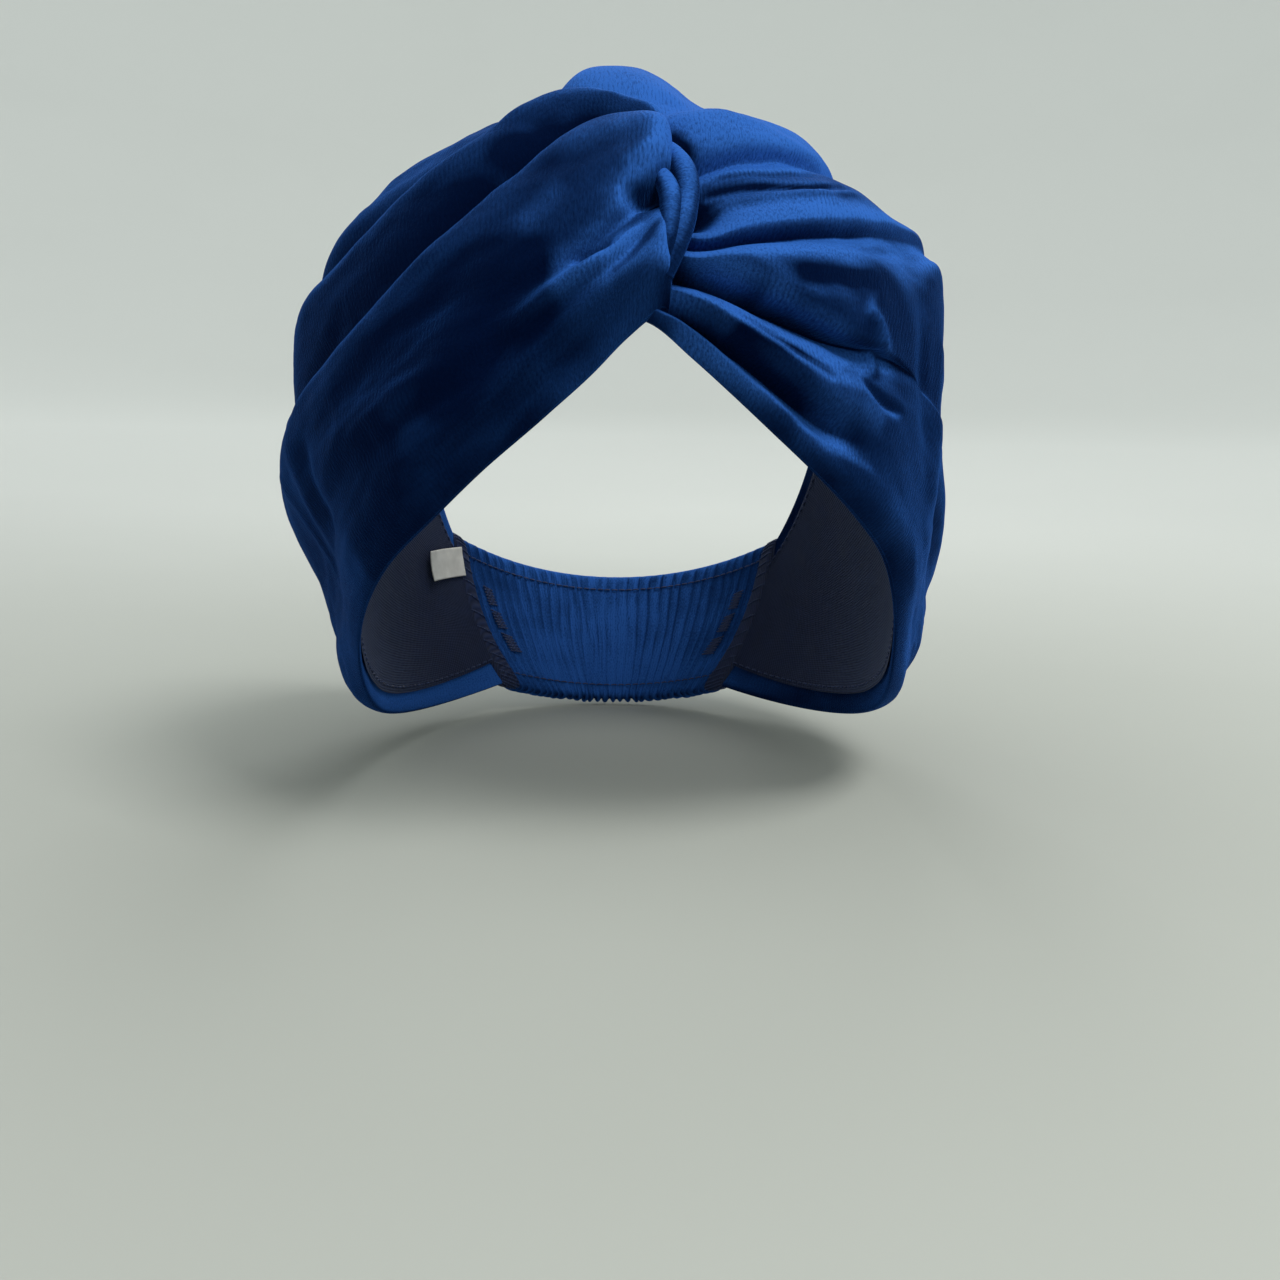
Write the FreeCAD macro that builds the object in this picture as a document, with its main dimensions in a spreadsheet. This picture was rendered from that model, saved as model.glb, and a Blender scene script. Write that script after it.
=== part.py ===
import FreeCAD, Part
import os
import re

# Knotted headband of stretch velvet, in the shape it takes on a head: two interlocked cloth loops
# over the front and the sides, and a gathered elastic strap behind the neck.
# Millimetres. +Z is up, the wearer faces -Y and +X is the wearer's left. The origin is the middle
# of the head at its widest level, just above the ears.

SIZES = {
    # the head-shaped hollow is an ellipsoid whose centre lies below the widest level
    "cavity_half_width": 78.0,
    "cavity_half_depth": 98.5,
    "cavity_half_height": 114.0,
    "cavity_drop": 20.0,
    # how far the puffed outside of the two loops stands off the hollow
    "puff_at_sides": 14.0,
    "puff_at_front": 9.5,
    "puff_on_top": 9.5,
    # cloth layers
    "lining_thick": 1.2,
    "layer_gap": 0.3,
    "loop_gap": 0.6,
    # the opening over the face is a pointed arch of two equal arcs, seen from the front
    "arch_radius": 154.0,
    "arch_centre_side": 75.0,
    "arch_centre_drop": 98.0,
    "arch_depth": 150.0,
    # the lower edge runs back under the ears and falls towards the neck
    "hem_side_drop": 62.0,
    "hem_fall_angle": 17.0,
    # the opening over the back of the crown is an ellipse seen along a tilted axis
    "crown_tilt": 37.5,
    "crown_half_length": 80.0,
    "crown_half_width": 58.0,
    "crown_shift": 8.0,
    # the knot: two U-shaped bends, each through the other
    "knot_side": 3.0,
    "knot_front": 86.3,
    "knot_up": 59.9,
    "knot_lean": 35.0,
    "bend_radius": 7.0,
    "strand_radius": 3.2,
    "strand_length": 24.0,
    "knot_clear_radius": 15.0,
    # the full cloth that narrows into the knot, one ellipsoid on each side of it
    "gather_side": 24.0,
    "gather_front": 52.0,
    "gather_up": 48.0,
    "gather_half_width": 38.0,
    "gather_half_depth": 47.0,
    "gather_half_height": 42.0,
    # the strap behind the neck lies in a slab of space tilted about the X axis
    "join_back": 70.0,
    "strap_tilt": 33.0,
    "strap_low": -12.0,
    "strap_height": 44.0,
    "strap_inner": 0.4,
    "strap_outer": 5.6,
    "channel_inner": 2.0,
    "channel_outer": 4.0,
    "channel_margin": 5.0,
    "elastic_slack": 0.25,
    # the bound seams at the joins
    "binding_width": 3.2,
    "binding_outer": 7.0,
    # threads
    "thread_radius": 0.45,
    "tack_length": 9.0,
    "tack_pitch": 3.0,
    "bartack_length": 4.4,
    "bartack_pitch": 7.0,
    "bartack_setback": 4.0,
    # the blank label inside the wearer's right side
    "label_inset": 0.6,
    "label_thick": 0.5,
    "label_width": 16.0,
    "label_height": 10.0,
    "label_drop": 42.0,
    # larger than any size of the headband
    "reach": 320.0,
}

doc = FreeCAD.newDocument("knotted_headband")
sheet = doc.addObject("Spreadsheet::Sheet", "Sizes")
for row, (alias, value) in enumerate(SIZES.items(), start=1):
    sheet.set(f"A{row}", alias.replace("_", " "))
    sheet.set(f"B{row}", str(value))
    sheet.setAlias(f"B{row}", alias)
doc.recompute()


def cells(expression):
    """Turns each size named in an expression into a reference to its cell."""
    return re.sub(r"[a-z_]+", lambda word: f"Sizes.{word[0]}" if word[0] in SIZES else word[0], expression)


def at(x="0", y="0", z="0", turn="0", axis="1;0;0"):
    """A placement as an expression: first the turn about an axis through the origin, then the move."""
    return f"placement(vector({x};{y};{z});rotation(vector({axis});{turn}))"


def make(kind, name, place=None, **sizes):
    """A document object whose properties and placement are bound to the sheet."""
    obj = doc.addObject(kind, name)
    for prop, expression in sizes.items():
        obj.setExpression(prop, cells(expression))
    if place:
        obj.setExpression("Placement", cells(place))
    return obj


def ellipsoid(name, width, depth, height, place):
    """A whole ellipsoid by its three half sizes."""
    return make("Part::Ellipsoid", name, place, Radius1=height, Radius2=width, Radius3=depth)


def block(name, length, width, height, place):
    return make("Part::Box", name, place, Length=length, Width=width, Height=height)


def cut(name, base, tool):
    obj = doc.addObject("Part::Cut", name)
    obj.Base = base
    obj.Tool = tool
    return obj


def common(name, *shapes):
    obj = doc.addObject("Part::MultiCommon", name)
    obj.Shapes = list(shapes)
    return obj


def fuse(name, *shapes):
    obj = doc.addObject("Part::MultiFuse", name)
    obj.Shapes = list(shapes)
    return obj


def compound(name, *shapes):
    obj = doc.addObject("Part::Compound", name)
    obj.Links = list(shapes)
    return obj


HEAD_CENTRE = at(z="-cavity_drop")
CROWN_PLACE = f"{at(z='-cavity_drop', turn='-crown_tilt')} * {at(y='crown_shift', turn='90', axis='0;0;1')}"
STRAP_PLACE = at(z="-cavity_drop", turn="-strap_tilt")
# the knot's own axes: -Y out of the head, X across it and Z up along it
KNOT_PLACE = at("knot_side", "-knot_front", "knot_up", "-knot_lean")


def head_grown(name, distance):
    """The ellipsoid of the head, grown by a distance."""
    width = f"cavity_half_width + {distance}"
    depth = f"cavity_half_depth + {distance}"
    height = f"cavity_half_height + {distance}"
    return ellipsoid(name, width, depth, height, HEAD_CENTRE)


def layer(name, inner, outer):
    """A skin that follows the head, between two distances from it."""
    return cut(name, head_grown(f"{name}_outside", outer), head_grown(f"{name}_inside", inner))


def face_opening():
    """Two long cylinders whose overlap is the pointed arch, pushed out to the front."""
    arcs = []
    for side, sign in (("right", ""), ("left", "-")):
        place = at(x=f"{sign}arch_centre_side", z="-arch_centre_drop", turn="90")
        arcs.append(make("Part::Cylinder", f"arch_{side}", place, Radius="arch_radius", Height="arch_depth"))
    return common("face_opening", *arcs)


def crown_opening():
    ring = make("Part::Ellipse", "crown_ring", CROWN_PLACE)
    ring.setExpression("MajorRadius", cells("crown_half_length"))
    ring.setExpression("MinorRadius", cells("crown_half_width"))
    opening = make("Part::Extrusion", "crown_opening", LengthFwd="reach")
    opening.Base = ring
    opening.DirMode = "Normal"
    opening.Solid = True
    return opening


def space_below_hem():
    corner = at("-reach / 2", "-reach / 2", "-reach")
    tilted = f"{at(z='-hem_side_drop', turn='-hem_fall_angle')} * {corner}"
    return block("space_below_hem", "reach", "reach", "reach", tilted)


def space_behind(name, distance):
    """All the space further back than a distance."""
    return block(name, "reach", "reach", "2 * reach", at("-reach / 2", distance, "-reach"))


def loop_parts(side, sign, bend_turn, leg_offset):
    """The bend of one loop and the two legs that run from it into the full cloth.

    sign is -1 for the loop on the wearer's right. leg_offset gives the two legs' places across the
    bend, in the knot's axes.
    """
    centre = f"{KNOT_PLACE} * {at(x=f'{sign} * bend_radius / 2')}"
    ring = make("Part::Torus", f"{side}_bend", f"{centre} * {bend_turn}")
    ring.setExpression("Radius1", cells("bend_radius"))
    ring.setExpression("Radius2", cells("strand_radius"))
    ring.Angle3 = 180
    parts = [ring]
    for number, offset in enumerate(leg_offset, start=1):
        place = f"{centre} * {offset} * {at(turn=f'{sign} * 90', axis='0;1;0')}"
        leg = make("Part::Cylinder", f"{side}_leg_{number}", place)
        leg.setExpression("Radius", cells("strand_radius"))
        leg.setExpression("Height", cells("strand_length"))
        parts.append(leg)
    return parts


def left_bend_and_legs():
    """This bend lies flat: its legs are one behind the other."""
    offsets = [at(y="-bend_radius"), at(y="bend_radius")]
    return loop_parts("left", "-1", at(turn="-90", axis="0;0;1"), offsets)


def right_bend_and_legs():
    """This bend stands up: its legs are one above the other."""
    upright = f"{at(turn='90')} * {at(turn='90', axis='0;0;1')}"
    offsets = [at(z="bend_radius"), at(z="-bend_radius")]
    return loop_parts("right", "1", upright, offsets)


def loop(side, sign, half, bend_and_legs, openings):
    """One velvet loop: its half of the puffed band, the fullness by the knot, and its bend."""
    puff_width = "cavity_half_width + puff_at_sides"
    puff_depth = "cavity_half_depth + puff_at_front"
    puff_height = "cavity_half_height + puff_on_top"
    puff = ellipsoid(f"{side}_puff", puff_width, puff_depth, puff_height, HEAD_CENTRE)
    place = at(f"knot_side + {sign} * gather_side", "-gather_front", "gather_up")
    gather = ellipsoid(f"{side}_gather", "gather_half_width", "gather_half_depth", "gather_half_height", place)
    full = fuse(f"{side}_full", puff, gather)
    hollowed = cut(f"{side}_hollowed", full, head_grown(f"{side}_head", "lining_thick + layer_gap"))
    knot_space = make("Part::Sphere", f"{side}_knot_space", KNOT_PLACE, Radius="knot_clear_radius")
    relieved = cut(f"{side}_relieved", hollowed, knot_space)
    trimmed = relieved
    for number, opening in enumerate(openings, start=1):
        trimmed = cut(f"{side}_trimmed_{number}", trimmed, opening)
    halved = common(f"{side}_halved", trimmed, half)
    return fuse(f"{side}_loop", halved, *bend_and_legs)


def lining(side, half, openings):
    """The thin backing of one loop, which lies on the head."""
    trimmed = layer(f"{side}_lining_layer", "0", "lining_thick")
    for number, opening in enumerate(openings, start=1):
        trimmed = cut(f"{side}_lining_trimmed_{number}", trimmed, opening)
    return common(f"{side}_lining", trimmed, half)


def strap_slab(name, margin):
    """The tilted slab that a strap of cloth or elastic fills, less a margin above and below."""
    place = f"{STRAP_PLACE} * {at('-reach / 2', '-reach / 2', f'strap_low + {margin}')}"
    return block(name, "reach", "reach", f"strap_height - 2 * {margin}", place)


def nape_casing(behind):
    outside = common("casing_outside", layer("casing_layer", "strap_inner", "strap_outer"), behind,
                     strap_slab("casing_slab", "0"))
    channel = common("channel", layer("channel_layer", "channel_inner", "channel_outer"),
                     strap_slab("channel_slab", "channel_margin"))
    return cut("nape_casing", outside, channel)


def nape_elastic(behind):
    strip = layer("elastic_layer", "channel_inner + elastic_slack", "channel_outer - elastic_slack")
    return common("nape_elastic", strip, behind, strap_slab("elastic_slab", "(channel_margin + elastic_slack)"))


def join_binding(side, low):
    """The bound seam between one loop's end and the strap."""
    place = at(low, "join_back + layer_gap", "-reach")
    slice_of_space = block(f"{side}_slice", "reach", "binding_width", "2 * reach", place)
    ring = layer(f"{side}_binding_layer", "strap_inner", "binding_outer")
    return common(f"{side}_join_binding", ring, slice_of_space, strap_slab(f"{side}_binding_slab", "0"))


def knot_tacks():
    """Three hidden stitches through the crossing of the two bends."""
    threads = []
    for step in (-1, 0, 1):
        place = f"{KNOT_PLACE} * {at(x=f'{step} * tack_pitch', y='tack_length', turn='90')}"
        threads.append(make("Part::Cylinder", f"knot_thread_{step + 2}", place,
                            Radius="thread_radius", Height="tack_length"))
    return compound("knot_tacks", *threads)


def elastic_tacks():
    """Three stitches through the casing and the elastic near each end."""
    mid_layer = SIZES["strap_inner"] + SIZES["bartack_length"] / 2 + 0.2
    half_sizes = FreeCAD.Vector(
        SIZES["cavity_half_width"] + mid_layer,
        SIZES["cavity_half_depth"] + mid_layer,
        SIZES["cavity_half_height"] + mid_layer,
    )
    slope = FreeCAD.Rotation(FreeCAD.Vector(1, 0, 0), -SIZES["strap_tilt"]).multVec(FreeCAD.Vector(0, 0, 1))
    back = SIZES["join_back"] + 2 * SIZES["layer_gap"] + SIZES["binding_width"] + SIZES["bartack_setback"]
    middle = SIZES["strap_low"] + SIZES["strap_height"] / 2
    stitches = []
    for side in (-1, 1):
        for step in (-1, 0, 1):
            up = (middle + step * SIZES["bartack_pitch"] - back * slope.y) / slope.z
            across = (1 - (back / half_sizes.y) ** 2 - (up / half_sizes.z) ** 2) ** 0.5
            point = FreeCAD.Vector(side * half_sizes.x * across, back, up)
            outward = FreeCAD.Vector(*(p / s**2 for p, s in zip(point, half_sizes)))
            outward.normalize()
            start = point - outward * (SIZES["bartack_length"] / 2) - FreeCAD.Vector(0, 0, SIZES["cavity_drop"])
            stitches.append(Part.makeCylinder(SIZES["thread_radius"], SIZES["bartack_length"], start, outward))
    group = doc.addObject("Part::Feature", "elastic_tacks")
    group.Shape = Part.makeCompound(stitches)
    return group


def care_label():
    """A small blank label sewn at the wearer's right join, lying on the lining."""
    patch = layer("label_layer", "-1 * label_inset", "label_thick - label_inset")
    place = at("-reach", "join_back - label_width", "-label_drop")
    return common("care_label", patch, block("label_space", "reach", "label_width", "label_height", place))


def build():
    """Makes every piece and returns them in the order in which they are sewn."""
    openings = [face_opening(), crown_opening(), space_below_hem(), space_behind("space_past_join", "join_back")]
    behind_seams = space_behind("space_past_seams", "join_back + 2 * layer_gap + binding_width")
    left_low = "knot_side - loop_gap / 2 - reach"
    left_half = block("left_half", "reach", "2 * reach", "2 * reach", at(left_low, "-reach", "-reach"))
    right_low = "knot_side + loop_gap / 2"
    right_half = block("right_half", "reach", "2 * reach", "2 * reach", at(right_low, "-reach", "-reach"))
    pieces = [
        loop("left", "-1", left_half, left_bend_and_legs(), openings),
        loop("right", "1", right_half, right_bend_and_legs(), openings),
        lining("left", left_half, openings),
        lining("right", right_half, openings),
        knot_tacks(),
        join_binding("left", "-reach"),
        join_binding("right", "0"),
        nape_casing(behind_seams),
        nape_elastic(behind_seams),
        elastic_tacks(),
        care_label(),
    ]
    doc.recompute()
    return pieces


def check_and_write(pieces):
    """Stops on any failed object or bad solid, then writes one STEP file for each piece."""
    for obj in doc.Objects:
        if "Invalid" in obj.State or "Error" in obj.State:
            raise RuntimeError(f"{obj.Name} failed: {obj.State}")
    for piece in pieces:
        if piece.Shape.isNull() or not piece.Shape.isValid() or not piece.Shape.Solids:
            raise RuntimeError(f"{piece.Name} has no valid solid")
    os.makedirs("parts", exist_ok=True)
    for piece in pieces:
        piece.Label = piece.Name
        piece.Shape.exportStep(f"parts/{piece.Label}.step")
        box = piece.Shape.optimalBoundingBox()
        print(f"{piece.Label:20} {len(piece.Shape.Solids)} solids, {piece.Shape.Volume:9.1f} mm3,"
              f" x {box.XMin:.1f} to {box.XMax:.1f}, y {box.YMin:.1f} to {box.YMax:.1f},"
              f" z {box.ZMin:.1f} to {box.ZMax:.1f}")


check_and_write(build())
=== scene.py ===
import bmesh
import bpy
import math
import numpy as np
from mathutils import Matrix, Vector, noise


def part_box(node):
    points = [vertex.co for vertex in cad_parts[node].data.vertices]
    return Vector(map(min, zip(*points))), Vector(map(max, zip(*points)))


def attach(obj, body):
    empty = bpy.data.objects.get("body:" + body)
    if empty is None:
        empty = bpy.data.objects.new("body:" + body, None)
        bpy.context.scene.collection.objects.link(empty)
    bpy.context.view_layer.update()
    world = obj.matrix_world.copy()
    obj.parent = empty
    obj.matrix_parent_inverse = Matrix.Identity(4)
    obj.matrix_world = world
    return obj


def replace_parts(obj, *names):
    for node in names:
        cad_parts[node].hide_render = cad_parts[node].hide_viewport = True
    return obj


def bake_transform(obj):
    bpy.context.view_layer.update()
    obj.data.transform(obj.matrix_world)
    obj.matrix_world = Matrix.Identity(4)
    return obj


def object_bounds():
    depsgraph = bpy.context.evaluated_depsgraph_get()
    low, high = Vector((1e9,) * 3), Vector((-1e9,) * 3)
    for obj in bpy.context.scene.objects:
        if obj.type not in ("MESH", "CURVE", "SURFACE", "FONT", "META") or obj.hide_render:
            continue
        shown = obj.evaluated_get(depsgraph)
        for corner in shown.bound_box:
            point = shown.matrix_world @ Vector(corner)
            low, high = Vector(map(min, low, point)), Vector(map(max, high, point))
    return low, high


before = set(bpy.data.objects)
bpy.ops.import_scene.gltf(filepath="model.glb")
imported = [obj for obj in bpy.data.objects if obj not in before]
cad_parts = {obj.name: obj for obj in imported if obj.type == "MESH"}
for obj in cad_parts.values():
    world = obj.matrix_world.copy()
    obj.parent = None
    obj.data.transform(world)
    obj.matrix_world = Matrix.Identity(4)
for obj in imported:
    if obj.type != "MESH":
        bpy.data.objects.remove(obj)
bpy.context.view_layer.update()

# Metres and degrees, in the frame of the CAD: +Z up, the wearer faces -Y, +X is the wearer's left.
MM = 0.001

# The head's surface is an ellipsoid. Places on it are given by two angles and a stand-off: "turn" goes
# round a tilted axis that leaves through the back of the crown, 0 at the brow and positive towards +X;
# "fall" is the angle down from that axis; the stand-off from the head is in millimetres.
HEAD_CENTRE = np.array([0.0, 0.0, -0.020])
HEAD_HALF = np.array([0.078, 0.0985, 0.114])
CROWN_TILT = 37.5


def axes_for(tilt):
    """The tilted axis, the forward direction square to it, and the sideways direction."""
    a = math.radians(tilt)
    up = np.array([0, math.sin(a), math.cos(a)])
    forward = np.array([0, -math.cos(a), math.sin(a)])
    return up, forward, np.array([1.0, 0, 0])


CROWN_AXES = axes_for(CROWN_TILT)


def on_head(turn, fall, stand_off):
    """Points for arrays of turn and fall in degrees and stand-off in millimetres."""
    turn, fall, stand_off = np.broadcast_arrays(turn, fall, stand_off)
    up, forward, side = CROWN_AXES
    t, f = np.radians(turn)[..., None], np.radians(fall)[..., None]
    direction = np.cos(f) * up + np.sin(f) * (np.cos(t) * forward + np.sin(t) * side)
    return HEAD_CENTRE + direction * (HEAD_HALF + stand_off[..., None] * MM)


def angles_of(point):
    """The turn and fall of a point near the head."""
    up, forward, side = CROWN_AXES
    q = (np.asarray(point) - HEAD_CENTRE) / HEAD_HALF
    q = q / np.linalg.norm(q, axis=-1, keepdims=True)
    turn = np.degrees(np.arctan2(q @ side, q @ forward))
    return turn, np.degrees(np.arccos(np.clip(q @ up, -1, 1)))


def smoothstep(low, high, value):
    s = np.clip((np.asarray(value, float) - low) / (high - low), 0, 1)
    return s * s * (3 - 2 * s)


def through(knots, values, at):
    """A smooth curve through the values at rising knots, read at other places."""
    x, y, at = np.asarray(knots, float), np.asarray(values, float), np.asarray(at, float)
    step = np.diff(x)
    slope = np.diff(y) / step
    tangent = np.empty_like(y)
    tangent[1:-1] = (slope[:-1] * step[1:] + slope[1:] * step[:-1]) / (step[:-1] + step[1:])
    tangent[0], tangent[-1] = slope[0], slope[-1]
    i = np.clip(np.searchsorted(x, at, side="right") - 1, 0, len(step) - 1)
    s = np.clip((at - x[i]) / step[i], 0, 1)
    return (
        (2 * s**3 - 3 * s**2 + 1) * y[i] + (s**3 - 2 * s**2 + s) * step[i] * tangent[i]
        + (3 * s**2 - 2 * s**3) * y[i + 1] + (s**3 - s**2) * step[i] * tangent[i + 1]
    )


def closed_curve(points, samples, crispness):
    """A closed soft curve along the first axis of points: at crispness 0 it is only pulled towards each
    point in turn, and at 1 it passes through them."""
    count = len(points)
    at = np.linspace(0, count, samples, endpoint=False)
    i, s = np.floor(at).astype(int), at % 1
    pulled = (
        (1 - s) ** 3 / 6,
        (3 * s**3 - 6 * s**2 + 4) / 6,
        (-3 * s**3 + 3 * s**2 + 3 * s + 1) / 6,
        s**3 / 6,
    )
    passing = (
        (-(s**3) + 2 * s**2 - s) / 2,
        (3 * s**3 - 5 * s**2 + 2) / 2,
        (-3 * s**3 + 4 * s**2 + s) / 2,
        (s**3 - s**2) / 2,
    )
    shape = (-1,) + (1,) * (points.ndim - 1)
    curve = 0
    for k, (soft, hard) in enumerate(zip(pulled, passing)):
        weight = (1 - crispness) * soft + crispness * hard
        curve = curve + weight.reshape(shape) * points[(i + k - 1) % count]
    return curve


def noise_at(*coordinates):
    """Smooth noise from -1 to 1, for arrays of two or three coordinates."""
    arrays = np.broadcast_arrays(*coordinates)
    flat = np.stack([a.ravel() for a in arrays], 1)
    values = [noise.noise(Vector((*row, 0.0)[:3])) for row in flat]
    return np.array(values).reshape(arrays[0].shape)


# ---------------------------------------------------------------- materials


class Nodes:
    """A material's node tree with short calls to add and join nodes."""

    def __init__(self, name):
        self.material = bpy.data.materials.new(name)
        self.material.use_nodes = True
        self.tree = self.material.node_tree
        self.shader = self.tree.nodes["Principled BSDF"]

    def add(self, kind, operation=None, **inputs):
        node = self.tree.nodes.new(f"ShaderNode{kind}")
        if operation:
            node.operation = operation
        for name, value in inputs.items():
            self.set(node, name.replace("_", " "), value)
        return node

    def set(self, node, name, value):
        """Links or sets an input. A name such as i2 picks it by number, where names repeat."""
        socket = node.inputs[int(name[1:])] if name[1:].isdigit() else node.inputs[name]
        if isinstance(value, bpy.types.NodeSocket):
            self.tree.links.new(value, socket)
        else:
            socket.default_value = value

    def shade(self, **inputs):
        for name, value in inputs.items():
            self.set(self.shader, name.replace("_", " "), value)

    def place(self):
        return self.add("TexCoord").outputs["Object"]

    def cloth(self):
        """Metres of cloth: first along it, then across it."""
        return self.add("UVMap").outputs[0]

    def attribute(self, name):
        node = self.add("Attribute")
        node.attribute_name = name
        return node.outputs["Fac"]

    def noise(self, vector, scale, detail=2.0, roughness=0.5):
        node = self.add("TexNoise", Vector=vector, Scale=scale, Detail=detail, Roughness=roughness)
        return node.outputs[0]

    def waves(self, vector, period, distortion=0.0):
        """Straight ridges across the first direction, one in each period in metres."""
        scale = 2 * math.pi / 20 / period
        return self.add("TexWave", Vector=vector, Scale=scale, Distortion=distortion, Detail=2.0).outputs[1]

    def math(self, operation, a, b=0.0):
        return self.add("Math", operation, i0=a, i1=b).outputs[0]

    def total(self, *terms):
        """The sum of pairs of a value and its share."""
        parts = [self.math("MULTIPLY", value, share) for value, share in terms]
        result = parts[0]
        for part in parts[1:]:
            result = self.math("ADD", result, part)
        return result

    def ramp(self, value, low, high, to_low=0.0, to_high=1.0):
        node = self.add("MapRange", i0=value, i1=low, i2=high, i3=to_low, i4=to_high)
        return node.outputs[0]

    def mix(self, share, first, second):
        node = self.tree.nodes.new("ShaderNodeMix")
        node.data_type = "RGBA"
        self.set(node, "i0", share)
        self.set(node, "i6", first)
        self.set(node, "i7", second)
        return node.outputs[2]

    def stretched(self, vector, scale, turn=0.0):
        node = self.add("Mapping", Vector=vector, Scale=scale, Rotation=(0.0, 0.0, turn))
        return node.outputs[0]

    def turned(self, vector, turn):
        return self.stretched(vector, (1.0, 1.0, 1.0), turn)

    def wandering(self, vector, scale, distance):
        """The same coordinates pushed about by noise."""
        push = self.add("TexNoise", Vector=vector, Scale=scale, Detail=2.0).outputs[1]
        centred = self.add("VectorMath", "SUBTRACT", i0=push, i1=(0.5, 0.5, 0.5)).outputs[0]
        moved = self.add("VectorMath", "SCALE", i0=centred, Scale=distance).outputs[0]
        return self.add("VectorMath", "ADD", i0=vector, i1=moved).outputs[0]

    def bump(self, height, strength, distance, normal=None):
        node = self.add("Bump", Height=height, Strength=strength, Distance=distance)
        if normal:
            self.set(node, "Normal", normal)
        return node.outputs[0]


def velvet():
    """Deep blue stretch velvet: a short pile on a finely ribbed knit. Its colour is painted lighter where
    the cloth faces one fixed way, as if lit from there, and on crests, and painted darker down in the
    folds. This painted light and shade sits on top of the lamps' own."""
    n = Nodes("blue_stretch_velvet")
    cloth = n.cloth()
    ribs = n.waves(n.wandering(cloth, 260.0, 0.0020), 0.0012, 2.0)
    patchy = n.ramp(n.noise(cloth, 70.0, 3.0), 0.42, 0.66)
    pile = n.noise(n.stretched(cloth, (1.0, 0.45, 1.0)), 2500.0, 3.0, 0.68)
    strokes = n.noise(n.stretched(cloth, (22.0, 90.0, 1.0), 0.35), 1.0, 4.0, 0.6)
    clouds = n.noise(n.place(), 34.0, 3.0, 0.55)
    # Painted light and shade: the painted side light and the painted crest light and crease shade, with
    # random tone from the strokes and clouds.
    painted_light_and_tone = n.total((n.attribute("painted_side_light"), 0.95), (n.attribute("lift"), 1.0), (strokes, 0.42), (clouds, 0.36))
    painted_light_and_tone = n.math("POWER", n.ramp(painted_light_and_tone, 0.50, 1.45), 1.25)
    grain = n.total((pile, 0.85), (n.math("MULTIPLY", ribs, patchy), 0.20))
    painted_light_and_tone = n.math("MULTIPLY", n.math("ADD", painted_light_and_tone, 0.015), n.ramp(grain, 0.25, 0.70, 0.40, 1.62))
    # The two colours are a painted shaded dark blue and a painted lit bright blue of the same velvet.
    color = n.mix(painted_light_and_tone, (0.00015, 0.0026, 0.0185, 1), (0.0250, 0.1120, 0.4300, 1))
    n.shade(Base_Color=color, Roughness=n.ramp(pile, 0.2, 0.8, 0.78, 0.96), Specular_IOR_Level=0.03)
    n.shade(Specular_Tint=(0.10, 0.35, 1.0, 1))
    n.shade(Sheen_Weight=0.5, Sheen_Roughness=0.34, Sheen_Tint=(0.035, 0.19, 0.75, 1))
    n.shade(Normal=n.bump(n.total((ribs, 0.16), (pile, 1.1)), 0.5, 0.0005))
    return n.material


def jersey():
    """Midnight blue cotton jersey: fine knit ribs, each a column of small stitches."""
    n = Nodes("navy_cotton_jersey")
    cloth = n.wandering(n.cloth(), 90.0, 0.0008)
    ribs = n.waves(n.turned(cloth, math.pi / 2), 0.0011)
    rows = n.waves(cloth, 0.0008)
    mottled = n.noise(n.place(), 160.0, 3.0)
    shade = n.total((ribs, 0.5), (rows, 0.2), (mottled, 0.4))
    color = n.mix(n.ramp(shade, 0.2, 0.9), (0.004, 0.007, 0.026, 1), (0.016, 0.026, 0.075, 1))
    n.shade(Base_Color=color, Roughness=n.ramp(mottled, 0.3, 0.7, 0.82, 0.95), Specular_IOR_Level=0.2)
    n.shade(Sheen_Weight=0.25, Sheen_Roughness=0.5, Sheen_Tint=(0.4, 0.5, 0.8, 1))
    n.shade(Normal=n.bump(n.total((ribs, 0.7), (rows, 0.3)), 0.6, 0.0004))
    return n.material


def tape():
    """Navy woven binding: a fine diagonal twill with a slight shine."""
    n = Nodes("navy_binding_tape")
    place = n.place()
    twill = n.waves(n.turned(place, 0.8), 0.0007, 0.4)
    mottled = n.noise(place, 400.0, 3.0)
    color = n.mix(n.total((twill, 0.5), (mottled, 0.5)), (0.003, 0.008, 0.034, 1), (0.014, 0.030, 0.105, 1))
    n.shade(Base_Color=color, Roughness=n.ramp(mottled, 0.3, 0.7, 0.5, 0.68), Specular_IOR_Level=0.4)
    n.shade(Normal=n.bump(n.total((twill, 0.8), (mottled, 0.2)), 0.5, 0.0003))
    return n.material


def thread():
    """Twisted polyester thread."""
    n = Nodes("navy_thread")
    place = n.place()
    twist = n.waves(n.turned(place, 0.6), 0.00045, 0.5)
    shade = n.total((twist, 0.7), (n.noise(place, 900.0), 0.3))
    color = n.mix(shade, (0.006, 0.014, 0.055, 1), (0.03, 0.06, 0.19, 1))
    n.shade(Base_Color=color, Roughness=n.ramp(twist, 0.0, 1.0, 0.42, 0.55), Specular_IOR_Level=0.5)
    n.shade(Normal=n.bump(twist, 0.6, 0.0002))
    return n.material


def elastic_web():
    """Black braided elastic: rubber cords along it under a braid of thread."""
    n = Nodes("braided_elastic")
    cloth = n.cloth()
    cords = n.waves(n.turned(cloth, math.pi / 2), 0.0018)
    braid = n.waves(n.turned(cloth, 0.9), 0.0009, 0.5)
    color = n.mix(n.total((cords, 0.5), (braid, 0.5)), (0.006, 0.006, 0.007, 1), (0.035, 0.035, 0.04, 1))
    n.shade(Base_Color=color, Roughness=n.ramp(braid, 0.0, 1.0, 0.55, 0.8), Specular_IOR_Level=0.35)
    n.shade(Normal=n.bump(n.total((cords, 0.8), (braid, 0.3)), 0.7, 0.0005))
    return n.material


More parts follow.
